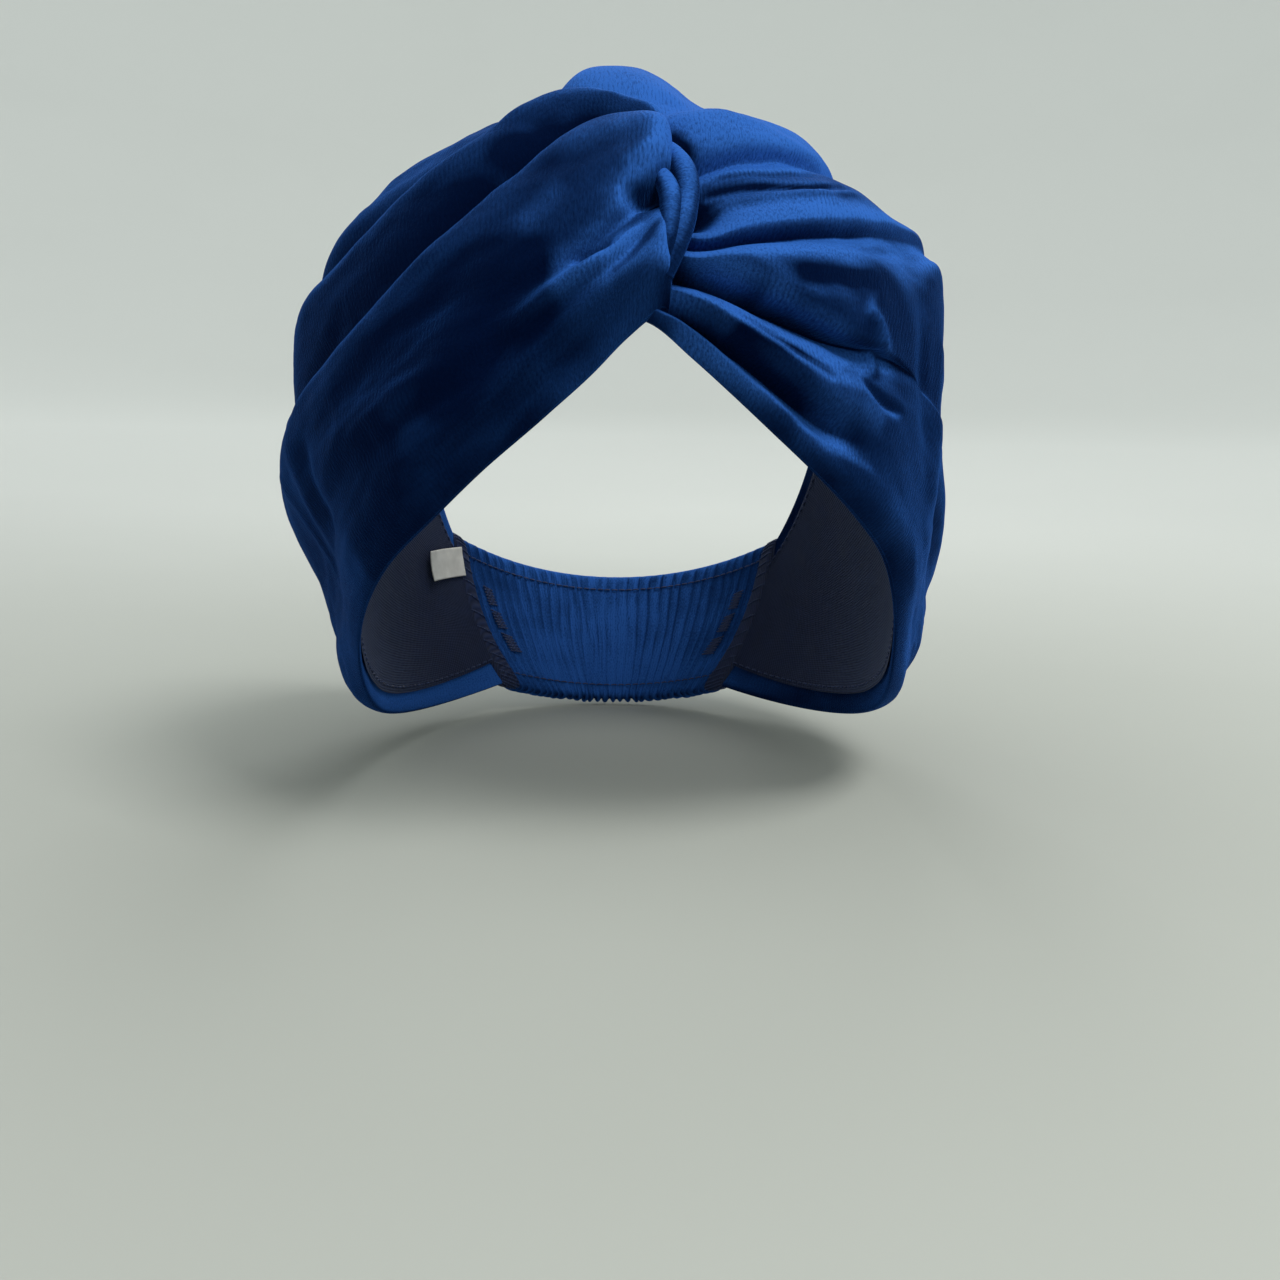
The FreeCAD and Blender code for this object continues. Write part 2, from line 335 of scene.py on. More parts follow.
def satin():
    """White woven satin label, blank and a little mottled."""
    n = Nodes("white_label_satin")
    cloth = n.cloth()
    floats = n.waves(n.turned(cloth, math.pi / 2), 0.00035, 0.3)
    grime = n.noise(n.place(), 220.0, 4.0)
    color = n.mix(n.ramp(grime, 0.35, 0.75), (0.78, 0.77, 0.74, 1), (0.60, 0.59, 0.56, 1))
    n.shade(Base_Color=color, Roughness=n.ramp(floats, 0.0, 1.0, 0.28, 0.42), Specular_IOR_Level=0.55)
    n.shade(Anisotropic=0.5, Normal=n.bump(floats, 0.3, 0.0001))
    return n.material


VELVET = velvet()
JERSEY = jersey()
TAPE = tape()
THREAD = thread()
ELASTIC = elastic_web()
SATIN = satin()

# ---------------------------------------------------------------- mesh helpers


def face_outwards(mesh):
    form = bmesh.new()
    form.from_mesh(mesh)
    bmesh.ops.recalc_face_normals(form, faces=form.faces)
    form.to_mesh(mesh)
    form.free()


def make_mesh(name, points, faces, material, body="band"):
    """A smooth-shaded piece whose faces all look outwards. It rides on the body, unless that is None."""
    mesh = bpy.data.meshes.new(name)
    mesh.from_pydata([tuple(p) for p in np.reshape(points, (-1, 3))], [], faces)
    face_outwards(mesh)
    mesh.shade_smooth()
    obj = bpy.data.objects.new(name, mesh)
    bpy.context.scene.collection.objects.link(obj)
    obj.data.materials.append(material)
    if body:
        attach(obj, body)
    return obj


def grid_faces(rows, columns, closed_rows=False, closed_columns=False, first=0):
    """Quads over a grid of points whose index is row * columns + column."""
    faces = []
    for r in range(rows if closed_rows else rows - 1):
        for c in range(columns if closed_columns else columns - 1):
            a, b = r * columns + c, r * columns + (c + 1) % columns
            d, e = ((r + 1) % rows) * columns + c, ((r + 1) % rows) * columns + (c + 1) % columns
            faces.append((first + a, first + b, first + e, first + d))
    return faces


def zipped_end(outer, inner):
    """Triangles that close a cut end, between its outer and inner rows of points, matched by their
    share of the way."""
    faces, i, j = [], 0, 0
    last_outer, last_inner = len(outer) - 1, len(inner) - 1
    while i < last_outer or j < last_inner:
        outer_is_behind = i < last_outer and (i + 1) * last_inner <= (j + 1) * last_outer
        if j == last_inner or outer_is_behind:
            faces.append((outer[i], outer[i + 1], inner[j]))
            i += 1
        else:
            faces.append((outer[i], inner[j + 1], inner[j]))
            j += 1
    return faces


def closed_tube(points, outer_rows=None):
    """The points and faces of a tube whose rows go round it and whose columns go along it. Its ends are
    closed by fans, or for a flat tube, whose first rows are its outside, from the outside to the inside."""
    rows, columns = points.shape[:2]
    faces = grid_faces(rows, columns, closed_rows=True)
    if outer_rows:
        for column in (0, columns - 1):
            outer = [r * columns + column for r in range(outer_rows)]
            inner = [column] + [r * columns + column for r in range(rows - 1, outer_rows - 2, -1)]
            faces += [f for f in zipped_end(outer, inner) if len(set(f)) == 3]
        return points.reshape(-1, 3), faces
    count = rows * columns
    for centre, column in ((count, 0), (count + 1, columns - 1)):
        faces += [(centre, r * columns + column, (r + 1) % rows * columns + column) for r in range(rows)]
    ends = np.stack([points[:, 0].mean(0), points[:, -1].mean(0)])
    return np.concatenate([points.reshape(-1, 3), ends]), faces


def lay_uv(obj, points):
    """A UV map in metres of cloth, from a grid whose rows go round or across and columns go along."""
    rows, columns = points.shape[:2]
    run = np.linalg.norm(np.diff(points, axis=1), axis=2).mean(0)
    girth = np.linalg.norm(np.diff(points, axis=0), axis=2).mean(1)
    u = np.broadcast_to(np.concatenate([[0], np.cumsum(run)]), (rows, columns)).ravel()
    v = np.broadcast_to(np.concatenate([[0], np.cumsum(girth)])[:, None], (rows, columns)).ravel()
    spare = len(obj.data.vertices) - rows * columns
    u, v = np.append(u, np.zeros(spare)), np.append(v, np.zeros(spare))
    corners = np.empty(len(obj.data.loops), int)
    obj.data.loops.foreach_get("vertex_index", corners)
    uv = np.stack([u[corners], v[corners]], 1).astype(np.float32)
    obj.data.uv_layers.new(name="cloth").data.foreach_set("uv", uv.ravel())


# Painted light: the velvet's colour is painted lighter on faces that look one way, as if lit from there.
# The two directions are fitted to the photo's tones.
LEFT_PAINTED_LIGHT_FROM = np.array([0.70, -0.40, 0.60])
RIGHT_PAINTED_LIGHT_FROM = np.array([0.02, -0.48, 0.88])


PAINTED_LIGHT_LEAST_FACING, PAINTED_LIGHT_FULL_FACING = 0.42, 1.02
# The painted crest light of cloth that has no relief of its own.
PLAIN_PAINTED_LIGHT = 0.2


def mark_painted_light(obj, direction, lift=None):
    """Stores on each point its painted side light, lighter on faces turned towards the direction, and its
    painted light and shade from crests, creases and painted patches."""
    mesh = obj.data
    normals = np.empty(len(mesh.vertices) * 3)
    mesh.vertex_normals.foreach_get("vector", normals)
    # Painted light: faces turned towards this fixed direction are painted lighter.
    facing = normals.reshape(-1, 3) @ (direction / np.linalg.norm(direction))
    painted_side_light = smoothstep(PAINTED_LIGHT_LEAST_FACING, PAINTED_LIGHT_FULL_FACING, facing)
    lift = np.zeros(0) if lift is None else lift
    lift = np.append(lift, np.full(len(painted_side_light) - len(lift), PLAIN_PAINTED_LIGHT))
    for name, values in (("painted_side_light", painted_side_light), ("lift", lift)):
        mesh.attributes.new(name, "FLOAT", "POINT").data.foreach_set("value", values.astype(np.float32))


def swept(path, radius, sides=8):
    """A round cord of one radius, or one for each point, along a path; its ends are closed."""
    path = np.asarray(path, float)
    radius = np.broadcast_to(radius, len(path))
    tangent = np.gradient(path, axis=0)
    tangent /= np.linalg.norm(tangent, axis=1, keepdims=True)
    out = path - HEAD_CENTRE
    first = np.cross(tangent, out)
    first /= np.linalg.norm(first, axis=1, keepdims=True)
    second = np.cross(tangent, first)
    angle = np.linspace(0, 2 * math.pi, sides, endpoint=False)[:, None, None]
    return path + radius[None, :, None] * (np.cos(angle) * first + np.sin(angle) * second)


def joined(name, tubes, material, body="band"):
    """Many small closed tubes as one piece."""
    all_points, all_faces, first = [], [], 0
    for tube in tubes:
        points, faces = closed_tube(tube)
        all_points.append(points)
        all_faces += [tuple(first + i for i in face) for face in faces]
        first += len(points)
    return make_mesh(name, np.concatenate(all_points), all_faces, material, body)


def stitch(start, end, lift=0.35, radius=0.26):
    """One visible stitch, from hole to hole: its ends dive into the cloth. Sizes in millimetres."""
    start, end = np.asarray(start), np.asarray(end)
    at = np.linspace(0, 1, 7)[:, None]
    line = start + (end - start) * at
    out = line - HEAD_CENTRE
    out /= np.linalg.norm(out, axis=1, keepdims=True)
    return swept(line + out * (np.sin(at * math.pi) * 2 - 1) * lift * MM, radius * MM, 6)


# ---------------------------------------------------------------- the two loops

# Each fold line of a loop is followed from the knot to the join at the back as places of turn, fall
# and stand-off. Turns are positive away from the knot on both sides. The two numbers after the name
# are the line's share of the join's width, 0 at the strap's top edge, and its stand-off there. The
# places that the photo shows are fitted to it, and the others are guessed.
LEFT_LINES = [
    ("hem", 1.0, 2, [
        (-1, 99, 5), (4, 102, 4), (9, 105.3, 3), (17, 109.2, 3), (30, 113, 3), (40, 114.8, 3),
        (58, 115.2, 3), (78, 115.2, 3), (92, 115, 3), (104, 113, 3),
    ]),
    ("hem_face", 0.95, 6, [
        (-1, 97.5, 15), (4, 100, 13), (9, 103, 11), (17, 106.8, 10), (30, 110.4, 9.5), (40, 112, 9),
        (58, 112.4, 7.2), (80, 112.2, 4), (104, 110, 8),
    ]),
    ("front_ridge", 0.86, 7, [
        (-1, 94, 18), (4, 98.5, 18), (9, 101.5, 17.5), (16, 104.7, 15.5), (26, 107.8, 14), (40, 109.3, 13),
        (58, 109, 10), (80, 108, 4.2), (104, 104, 11),
    ]),
    ("low_groove", 0.78, 6, [
        (-1, 92, 17), (4, 96.9, 17.8), (9, 100.2, 17.8), (16, 102.8, 15.2), (26, 105, 13.5),
        (40, 106.5, 13), (58, 105.5, 11.5), (80, 104, 4.4), (104, 100, 11),
    ]),
    ("crest", 0.70, 8, [
        (-1, 91.2, 16.5), (2, 93.8, 18.8), (4, 95.5, 20.8), (9, 98.8, 22.5), (14, 100.8, 21),
        (19, 101.8, 17), (28, 102.7, 16), (40, 103.8, 16), (58, 102, 15.5), (70, 101, 11.5), (80, 100, 8),
        (104, 97, 12),
    ]),
    ("slit", 0.64, 6, [
        (-1, 87.8, 13), (4, 93.1, 16.8), (9, 96.8, 17.6), (16, 99, 17.2), (26, 99.7, 17), (40, 101, 16),
        (58, 99, 16), (70, 98.3, 15), (80, 97, 12.5), (104, 94, 12),
    ]),
    ("bulge_low", 0.58, 7, [
        (-1, 86.2, 20.5), (4, 91, 22), (9, 95, 21), (16, 96.5, 19.5), (26, 97, 18), (40, 98, 17),
        (58, 97, 18), (70, 95.6, 19.3), (80, 94, 18), (104, 91, 13),
    ]),
    ("bulge_high", 0.52, 8, [
        (-1, 82.5, 23), (4, 84.5, 23), (9, 88, 22), (16, 91, 20.5), (26, 93.5, 19), (40, 95.5, 18.5),
        (58, 95, 19), (70, 93, 20), (80, 91, 19.5), (104, 88, 14),
    ]),
    ("ridge_a", 0.46, 8, [
        (-1, 79.8, 20), (4, 79.2, 20.5), (9, 80.3, 20.5), (16, 83.8, 20), (26, 88.6, 19.5), (40, 92.3, 19),
        (58, 92.4, 19.2), (70, 90, 18.7), (104, 85, 13.5),
    ]),
    ("lip_a", 0.43, 7, [
        (-1, 78.6, 15), (4, 77.8, 15), (9, 78.8, 14), (16, 82.2, 13), (26, 87.2, 13), (40, 91, 13),
        (58, 91, 15), (70, 87.6, 18.3), (104, 84, 13),
    ]),
    ("valley_a", 0.40, 6, [
        (-1, 78.8, 9), (4, 78.2, 5), (9, 79.2, 4), (16, 82.6, 4), (26, 87.4, 4.5), (40, 91, 6), (52, 91, 9),
        (62, 88, 14), (74, 86, 16), (104, 82, 11.5),
    ]),
    ("face_b", 0.35, 7, [
        (-1, 77.6, 15), (4, 76.4, 15), (9, 75.6, 14), (16, 77.8, 14), (26, 82, 14), (40, 86, 14.5),
        (58, 85, 18), (68, 83.6, 19.5), (80, 82, 17), (104, 78, 13),
    ]),
    ("ridge_b", 0.29, 8, [
        (-1, 75.6, 17), (4, 73.8, 18), (9, 71.8, 18.5), (16, 71.3, 18.5), (26, 75, 18.5), (40, 78.3, 19),
        (52, 79, 20), (61, 78.5, 22.8), (78, 76.5, 18.5), (104, 74, 13.5),
    ]),
    ("lip_b", 0.26, 7, [
        (-1, 74.2, 12), (4, 72.2, 13), (9, 70, 13), (16, 69.6, 12.5), (26, 73.4, 12.5), (40, 76.8, 13),
        (54, 77.4, 17), (64, 76, 19), (80, 74.8, 16), (104, 73, 12),
    ]),
    ("valley_b", 0.23, 6, [
        (-1, 74, 6), (4, 72, 3.5), (9, 70, 3.5), (16, 69.8, 3.5), (26, 73.4, 4), (40, 76.5, 6),
        (52, 76.4, 11), (62, 75, 16), (80, 73, 13), (104, 71, 11),
    ]),
    ("face_c", 0.18, 7, [
        (-1, 72, 7), (9, 66.5, 8), (16, 65.5, 9), (26, 68, 11), (36, 70, 13), (48, 71, 16.5), (58, 73, 20),
        (78, 71, 15.5), (104, 68, 12),
    ]),
    ("ridge_c", 0.12, 8, [
        (-1, 69, 6), (9, 62, 7), (16, 60, 8), (26, 61, 9.5), (34, 62, 11.5), (41, 63, 13.5), (49, 66, 17.5),
        (58, 70, 20), (78, 67, 15.5), (104, 65, 12.5),
    ]),
    ("lip_c", 0.09, 7, [
        (-1, 67, 4), (9, 60, 5), (16, 58, 7), (26, 59, 8.5), (36, 60, 10), (44, 61.5, 14), (58, 66, 16),
        (78, 65, 13.5), (104, 63.5, 11),
    ]),
    ("valley_c", 0.07, 6, [
        (-1, 66, 3), (9, 58.5, 4), (16, 56.5, 6), (26, 57, 8), (36, 58, 9), (46, 59.5, 10), (58, 63, 9),
        (78, 62, 9), (104, 62, 8),
    ]),
    ("crown_roll", 0.03, 6, [
        (-1, 60, 2), (9, 50, 3), (16, 48, 5), (26, 49, 8), (40, 51, 9.5), (58, 53, 11), (78, 55, 11),
        (104, 58, 9),
    ]),
    ("crown_hem", 0.0, 3, [
        (-1, 56, 1.5), (9, 44, 2), (16, 42, 3), (26, 43, 4), (40, 44.5, 4), (58, 46.5, 4), (78, 50, 4),
        (104, 55, 4),
    ]),
]

RIGHT_LINES = [
    ("hem", 1.0, 2, [
        (-30, 96.5, 2), (-9, 98.5, 2), (0, 100.4, 3), (6, 103.8, 3), (14, 107.6, 3), (20, 109.8, 3),
        (30, 112.2, 3), (42, 113.6, 3), (54, 114.2, 3), (66, 116.4, 3), (76, 118.5, 3), (98, 115, 3),
    ]),
    ("hem_face", 0.95, 6, [
        (-20, 95.5, 2), (0, 99, 6), (6, 102, 8.5), (12, 104.8, 8.5), (20, 107.6, 8.5), (30, 109.8, 8.5),
        (42, 110.8, 9), (56, 111.5, 8.5), (68, 113.5, 5.6), (78, 115.5, 5), (98, 112, 8),
    ]),
    ("low_valley", 0.90, 6, [
        (-20, 94.5, 2), (0, 97.8, 2.5), (6, 100.8, 2), (12, 102.9, 2), (20, 105.3, 2), (27, 107, 3.5),
        (36, 107.5, 8.5), (56, 108, 9.5), (74, 111, 5), (98, 108.5, 8),
    ]),
    ("seam_ridge", 0.84, 8, [
        (-20, 93.5, 2), (0, 96.8, 8), (6, 100.2, 13.5), (12, 102.4, 14), (20, 104.6, 14), (27, 105.6, 13.5),
        (33, 104, 13), (42, 101.5, 12.5), (56, 103.5, 12), (74, 107.5, 6), (98, 105, 11),
    ]),
    ("seam_face", 0.78, 7, [
        (-20, 93, 2), (0, 95.6, 5), (6, 98, 10.5), (12, 99.6, 11.5), (20, 101.2, 12), (30, 101.4, 12.5),
        (42, 100, 12.5), (56, 101, 12), (62, 101.6, 9), (70, 102.6, 6.5), (80, 102.8, 7), (98, 102, 12),
    ]),
    ("deep_valley", 0.72, 6, [
        (-20, 92, 2), (0, 94, 3), (6, 95.9, 2.5), (12, 96.8, 2.5), (20, 97.4, 3), (27, 97.8, 5.5),
        (34, 97.2, 10), (42, 96.5, 13.5), (56, 97.5, 12), (62, 98.2, 7.5), (68, 99, 4), (76, 99.6, 4),
        (84, 99.5, 8), (98, 99, 12),
    ]),
    ("overhang", 0.66, 8, [
        (-20, 91, 2), (0, 93.3, 6), (6, 96.5, 12), (12, 97.8, 13.5), (20, 98.9, 15), (28, 99.4, 16),
        (34, 98.4, 16), (42, 96.5, 15), (56, 95.5, 12.5), (66, 94.4, 11.2), (76, 95, 12), (98, 95, 13),
    ]),
    ("big_crest", 0.59, 8, [
        (-20, 90, 2), (0, 92.5, 8), (4, 95.9, 15.5), (9, 95.8, 18.5), (14, 95.4, 19.5), (20, 94.4, 20),
        (30, 91.9, 19.5), (41, 87, 19.5), (51.5, 80, 21.6), (60, 84.5, 11.4), (68, 90, 9.8), (98, 91, 13),
    ]),
    ("big_back", 0.52, 7, [
        (-20, 88, 2), (0, 91.2, 6), (6, 94, 12), (12, 93.4, 15.5), (20, 91.6, 17.4), (30, 88, 18),
        (41, 83, 18), (51, 77.8, 20.6), (60, 81, 12.4), (70, 86, 11.5), (98, 87, 13),
    ]),
    ("narrow_valley", 0.47, 6, [
        (-20, 86, 2), (0, 90, 3), (6, 92.9, 8.5), (12, 92, 10), (20, 89.8, 12), (30, 85.7, 14.5),
        (40, 80.4, 16.5), (50, 76, 19), (60, 77, 13), (70, 82.5, 11.5), (98, 83, 12),
    ]),
    ("rib_crest", 0.42, 8, [
        (-20, 84, 2), (0, 88.6, 6), (6, 92.2, 12.5), (12, 91.2, 15.5), (20, 88.9, 17.4), (30, 84.6, 18.6),
        (40, 79, 19.4), (50, 73.9, 20.8), (59, 75, 15.5), (70, 79, 13), (98, 79, 12),
    ]),
    ("rib_face", 0.36, 7, [
        (-20, 82, 2), (0, 86, 2), (6, 88, 4), (12, 87, 11.5), (20, 84.4, 15.5), (30, 79.8, 17),
        (42, 74, 16.5), (50, 71, 16.5), (58, 72, 13), (74, 74.5, 13), (98, 75, 12),
    ]),
    ("crease", 0.31, 6, [
        (-20, 80, 2), (0, 83.4, 2), (6, 85, 5), (12, 83.4, 10.5), (20, 80.8, 13), (30, 75.9, 14.2),
        (42, 70.2, 13.2), (56, 69, 12.5), (74, 71, 12), (98, 72, 11.5),
    ]),
    ("back_face", 0.27, 8, [
        (-20, 78, 2), (0, 81.4, 2), (6, 82.2, 7), (12, 80.3, 10), (20, 77.6, 11.5), (30, 73.4, 11.8),
        (42, 67.8, 10.8), (56, 66, 12), (74, 68, 12), (98, 69, 12),
    ]),
    ("back_valley", 0.22, 6, [
        (-20, 76, 2), (0, 79.8, 2), (6, 80, 4), (12, 78.2, 7.5), (20, 75.4, 8.8), (30, 71.4, 9.2),
        (38, 67, 8.2), (44, 64.5, 7.8), (56, 63, 9), (74, 64.5, 9.5), (98, 66, 10),
    ]),
    ("band_low", 0.18, 7, [
        (-20, 75, 2), (0, 78.6, 5), (6, 79, 11), (12, 77.6, 13.2), (20, 74.8, 13.8), (28, 71.2, 13.2),
        (36, 66, 10.5), (43, 63, 9), (56, 62, 10.5), (98, 64, 11),
    ]),
    ("band", 0.13, 7, [
        (-20, 73.5, 2), (0, 76.4, 10), (6, 75.6, 14.5), (12, 74, 14.5), (20, 71, 13.5), (28, 67.5, 12.5),
        (36, 63.5, 10.5), (43, 61.5, 8.8), (56, 60, 10.5), (98, 61, 10.5),
    ]),
    ("band_back", 0.10, 7, [
        (-20, 72, 2), (-9, 74, 4), (0, 73.4, 11), (6, 71.8, 12.5), (12, 69.4, 12.5), (20, 66.5, 12),
        (28, 63, 11.5), (36, 60, 9.8), (43, 58, 8.5), (56, 57, 9.5), (98, 59, 10),
    ]),
    ("crown_valley", 0.07, 6, [
        (-20, 70, 3), (-9, 71, 5), (0, 70.5, 8), (6, 67.5, 8), (12, 63.5, 7), (20, 61, 8), (30, 57.5, 8.3),
        (42, 55.5, 7.5), (56, 54, 8), (98, 57, 8),
    ]),
    ("crown_bump", 0.05, 7, [
        (-30, 64, 2.2), (-24, 64, 2.6), (-15, 62, 8.5), (-6, 62, 12), (2, 61, 11), (9, 58.5, 7),
        (14, 57, 5.5), (20, 56, 7), (30, 53.5, 8), (42, 52, 8), (98, 56, 8),
    ]),
    ("crown_bump_top", 0.03, 6, [
        (-30, 56, 2.2), (-24, 54, 3), (-19, 52.5, 8.2), (-13, 52, 13), (-6, 52, 12.8), (1, 52, 11),
        (7, 52, 8), (13, 51, 4.6), (20, 50, 6), (30, 49, 7.5), (42, 48, 8), (74, 50, 7), (98, 55, 7),
    ]),
    ("crown_hem", 0.0, 3, [
        (-30, 47, 2), (-20, 46, 2.6), (-9, 42, 3.5), (0, 41, 4), (20, 43, 4), (42, 44.5, 4), (56, 45.5, 4),
        (74, 48, 4), (98, 54.5, 4),
    ]),
]

# Small folds and creases on top of the fold lines: a path of turn and fall, the reach to each side of
# it in degrees, and how far it stands out in millimetres, negative for a crease.
LEFT_CREASES = [
    ([(5.5, 95.8), (8, 97.0), (10.5, 98.2)], 0.6, -3.4),
    ([(6, 98.8), (13, 101.2), (21, 103)], 2.6, 1.2),
    ([(9, 104.0), (16, 105.4)], 1.4, -1.4),
    ([(-2, 88.4), (1.2, 90.2), (4.6, 91.6)], 0.75, -2.6),
    ([(-2, 84.6), (2, 86.4), (5, 88.4)], 0.9, 0.9),
    ([(22, 99.5), (32, 102.5), (44, 105)], 2.6, 0.7),
    ([(24, 95.4), (36, 98), (50, 99)], 2.2, -0.9),
    ([(64, 95), (67, 100), (71, 106)], 1.9, 1.4),
    ([(60, 96), (62.5, 101), (65, 107)], 1.6, -1.0),
    ([(72, 94), (75, 100), (79, 107)], 1.5, 1.1),
    ([(50, 86), (58, 88), (66, 87)], 1.3, -0.9),
    ([(84, 88), (96, 90), (112, 94)], 2.0, 1.6),
    ([(80, 78), (96, 79), (116, 84)], 2.0, -1.6),
    ([(84, 70), (100, 70), (120, 76)], 2.2, 1.6),
    ([(70, 60), (90, 61), (112, 67)], 2.0, -1.4),
    ([(90, 104), (104, 103), (122, 100)], 1.8, -1.6),
]
RIGHT_CREASES = [
    ([(3, 85.4), (6, 87.4), (9, 88.6)], 1.7, -3.0),
    ([(8, 84.2), (14, 83.8), (23, 81.8), (32, 77)], 0.7, -1.6),
    ([(9, 82), (16, 80.6), (26, 77.2)], 0.6, -0.9),
    ([(8, 86.6), (15, 85.8), (24, 83), (34, 77)], 0.6, 0.8),
    ([(6, 98.4), (12, 100.6), (20, 102.8), (27, 103.8)], 0.45, -1.3),
    ([(16, 99), (24, 100), (31, 100.2)], 0.9, 0.8),
    ([(33, 101.6), (38, 102.2), (42, 101.4)], 0.6, -1.8),
    ([(30, 95.4), (34, 97.4), (35, 100.4)], 0.9, 1.7),
    ([(12, 95.4), (22, 95.6), (32, 93)], 1.2, -0.8),
    ([(20, 91), (30, 88.4), (40, 83)], 0.9, -0.7),
    ([(42, 87), (44, 93), (48, 99), (53, 104)], 1.6, -0.9),
    ([(49, 86), (51, 93), (54, 100), (58, 107)], 2.0, 0.9),
    ([(56, 90), (58, 97), (62, 105)], 1.4, -1.2),
    ([(20, 107.4), (30, 110), (44, 111)], 0.9, -0.5),
    ([(78, 88), (92, 89), (112, 92)], 2.0, 1.6),
    ([(76, 77), (92, 78), (114, 83)], 2.0, -1.6),
    ([(78, 69), (96, 69), (118, 75)], 2.2, 1.6),
    ([(60, 59), (84, 60), (110, 66)], 2.0, -1.4),
    ([(88, 104), (102, 103), (120, 100)], 1.8, -1.6),
]

# Places painted lighter or darker than the folds' own light and shade, fitted to the photo's tones: painted
# light and painted shade, with a painted shadow beside the knot. A path, its reach to each side, and how
# much lighter it is painted, negative where darker.
LEFT_PAINTED_PATCHES = [
    ([(5, 95.5), (10, 98.2), (14.5, 101)], 2.3, 0.42),
    ([(11.5, 98.0), (14, 100.6)], 1.6, 0.35),
    ([(0, 100.6), (4, 103.0), (10, 106.8), (20, 110.4)], 1.9, 0.42),
    ([(2, 81.0), (8, 82.2), (14, 85.4)], 2.8, 0.34),
    ([(13, 90), (18, 93.5)], 1.8, 0.22),
    ([(5, 71.6), (14, 71.6), (23, 73.6)], 1.6, 0.26),
    ([(-0.5, 89.4), (1.5, 90.4), (3.8, 91.4)], 1.0, -0.36),
    ([(9, 77.2), (17, 78.2), (26, 79)], 2.0, -0.42),
    ([(26, 84), (38, 84), (50, 84), (72, 84)], 3.2, -0.48),
    ([(16, 97), (20, 100), (28, 104), (36, 108)], 2.4, -0.30),
    ([(22, 96), (32, 99), (45, 100.4), (58, 103), (78, 104)], 2.8, -0.42),
    ([(44, 107), (54, 112), (62, 116)], 3.4, -0.32),
]
RIGHT_PAINTED_PATCHES = [
    ([(8, 78.6), (16, 76.6), (24, 73.4), (34, 67.6), (52, 61)], 3.0, 0.80),
    ([(0, 76.5), (4, 79.4), (6, 82)], 2.2, -0.95),
    ([(4, 85.6), (7, 87.6)], 2.0, -0.75),
    ([(9, 83), (20, 79.8), (31, 75), (42, 70), (62, 66)], 2.8, -0.80),
    ([(13, 86.4), (25, 82.4), (38, 76.6), (56, 71)], 2.0, -0.42),
    ([(6, 92), (12, 90.8), (20, 88.4), (30, 84.2), (40, 78.8), (56, 73)], 1.1, 0.30),
    ([(2.5, 98), (9, 97.6), (15, 98.4)], 2.2, 0.46),
    ([(20, 95.4), (27, 94), (36, 91.4)], 2.2, -0.34),
    ([(32, 90), (38, 95), (42, 101)], 3.2, -0.34),
    ([(45, 84), (51, 92), (55, 100)], 4.0, -0.30),
    ([(16, 98.6), (24, 99.4), (33, 100)], 1.3, 0.34),
    ([(3.5, 102.2), (9, 104.2), (15, 106.2), (22, 108.2)], 1.4, 0.46),
    ([(0, 104.4), (8, 107.4), (17, 110.6), (27, 112.4)], 1.0, -0.30),
    ([(26, 108), (34, 104.8)], 2.4, 0.24),
    ([(12, 102), (20, 103), (28, 103.4)], 1.1, -0.36),
    ([(34, 97), (40, 98)], 1.6, 0.28),
    ([(34, 104), (39, 103.8)], 1.6, 0.30),
]

# Where a loop ends: a plane across the back, inside the binding, and there the strap's two edges
# above its own tilted plane.
BINDING_LOW, BINDING_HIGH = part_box("left_join_binding")[0][1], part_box("left_join_binding")[1][1]
SEAM_BACK = (BINDING_LOW + BINDING_HIGH) / 2
STRAP_TILT = 33.0
STRAP_LOW, STRAP_HIGH = -12.0, 32.0
JOIN_LENGTH = 34.0
INNER_STAND_OFF, LEAST_STAND_OFF = 1.7, 1.4
INNER_SHARES = (0.985, 0.93, 0.8, 0.65, 0.5, 0.35, 0.2, 0.07, 0.015)
LOOP_ALONG = 260
LOOP_AROUND = 330
CRISPNESS = 0.5
# How far round from a crease or a painted light or shade patch, in degrees of turn, it is worked out at
# all, and the share of a patch's length after which it fades.
CREASE_SPAN, PAINTED_PATCH_SPAN = 40, 80
FADE_FROM = 0.6
# The least stand-off of folded cloth, and how its relief above the cloth round about is painted: painted
# highlight on crests and painted shade in creases.
LEAST_OUTSIDE = 1.9
RELIEF_HEIGHT, RELIEF_PAINTED_LIGHT = 9.0, 0.42


def on_strap(swing, level, stand_off):
    """Points on the tilted belt round the nape: swing in degrees from its middle, level in millimetres."""
    up, forward, side = axes_for(STRAP_TILT)
    swing, level, stand_off = np.broadcast_arrays(np.radians(swing), level, stand_off)
    half = HEAD_HALF + stand_off[..., None] * MM
    base = level[..., None] * MM * up / half
    ray = (np.sin(swing)[..., None] * side - np.cos(swing)[..., None] * forward) / half
    a, b, c = (ray**2).sum(-1), 2 * (base * ray).sum(-1), (base**2).sum(-1) - 1
    reach = (-b + np.sqrt(b**2 - 4 * a * c)) / (2 * a)
    return HEAD_CENTRE + (base + reach[..., None] * ray) * half


def swing_at(back, level, stand_off):
    """The swing at which the belt comes to a place along Y, by halving."""
    back, level, stand_off = np.broadcast_arrays(back, np.asarray(level, float), stand_off)
    low, high = np.zeros(level.shape), np.full(level.shape, 90.0)
    for _ in range(30):
        middle = (low + high) / 2
        behind = on_strap(middle, level, stand_off)[..., 1] > back
        low, high = np.where(behind, middle, low), np.where(behind, high, middle)
    return low


def join_angles(share):
    """Turn and fall of a point of the join, from the strap's top edge at 0 to its low edge at 1."""
    inset = 0.6
    level = np.asarray(STRAP_HIGH - inset + (STRAP_LOW - STRAP_HIGH + 2 * inset) * share, float)
    return angles_of(on_strap(swing_at(SEAM_BACK, level, 2.0), level, 2.0))


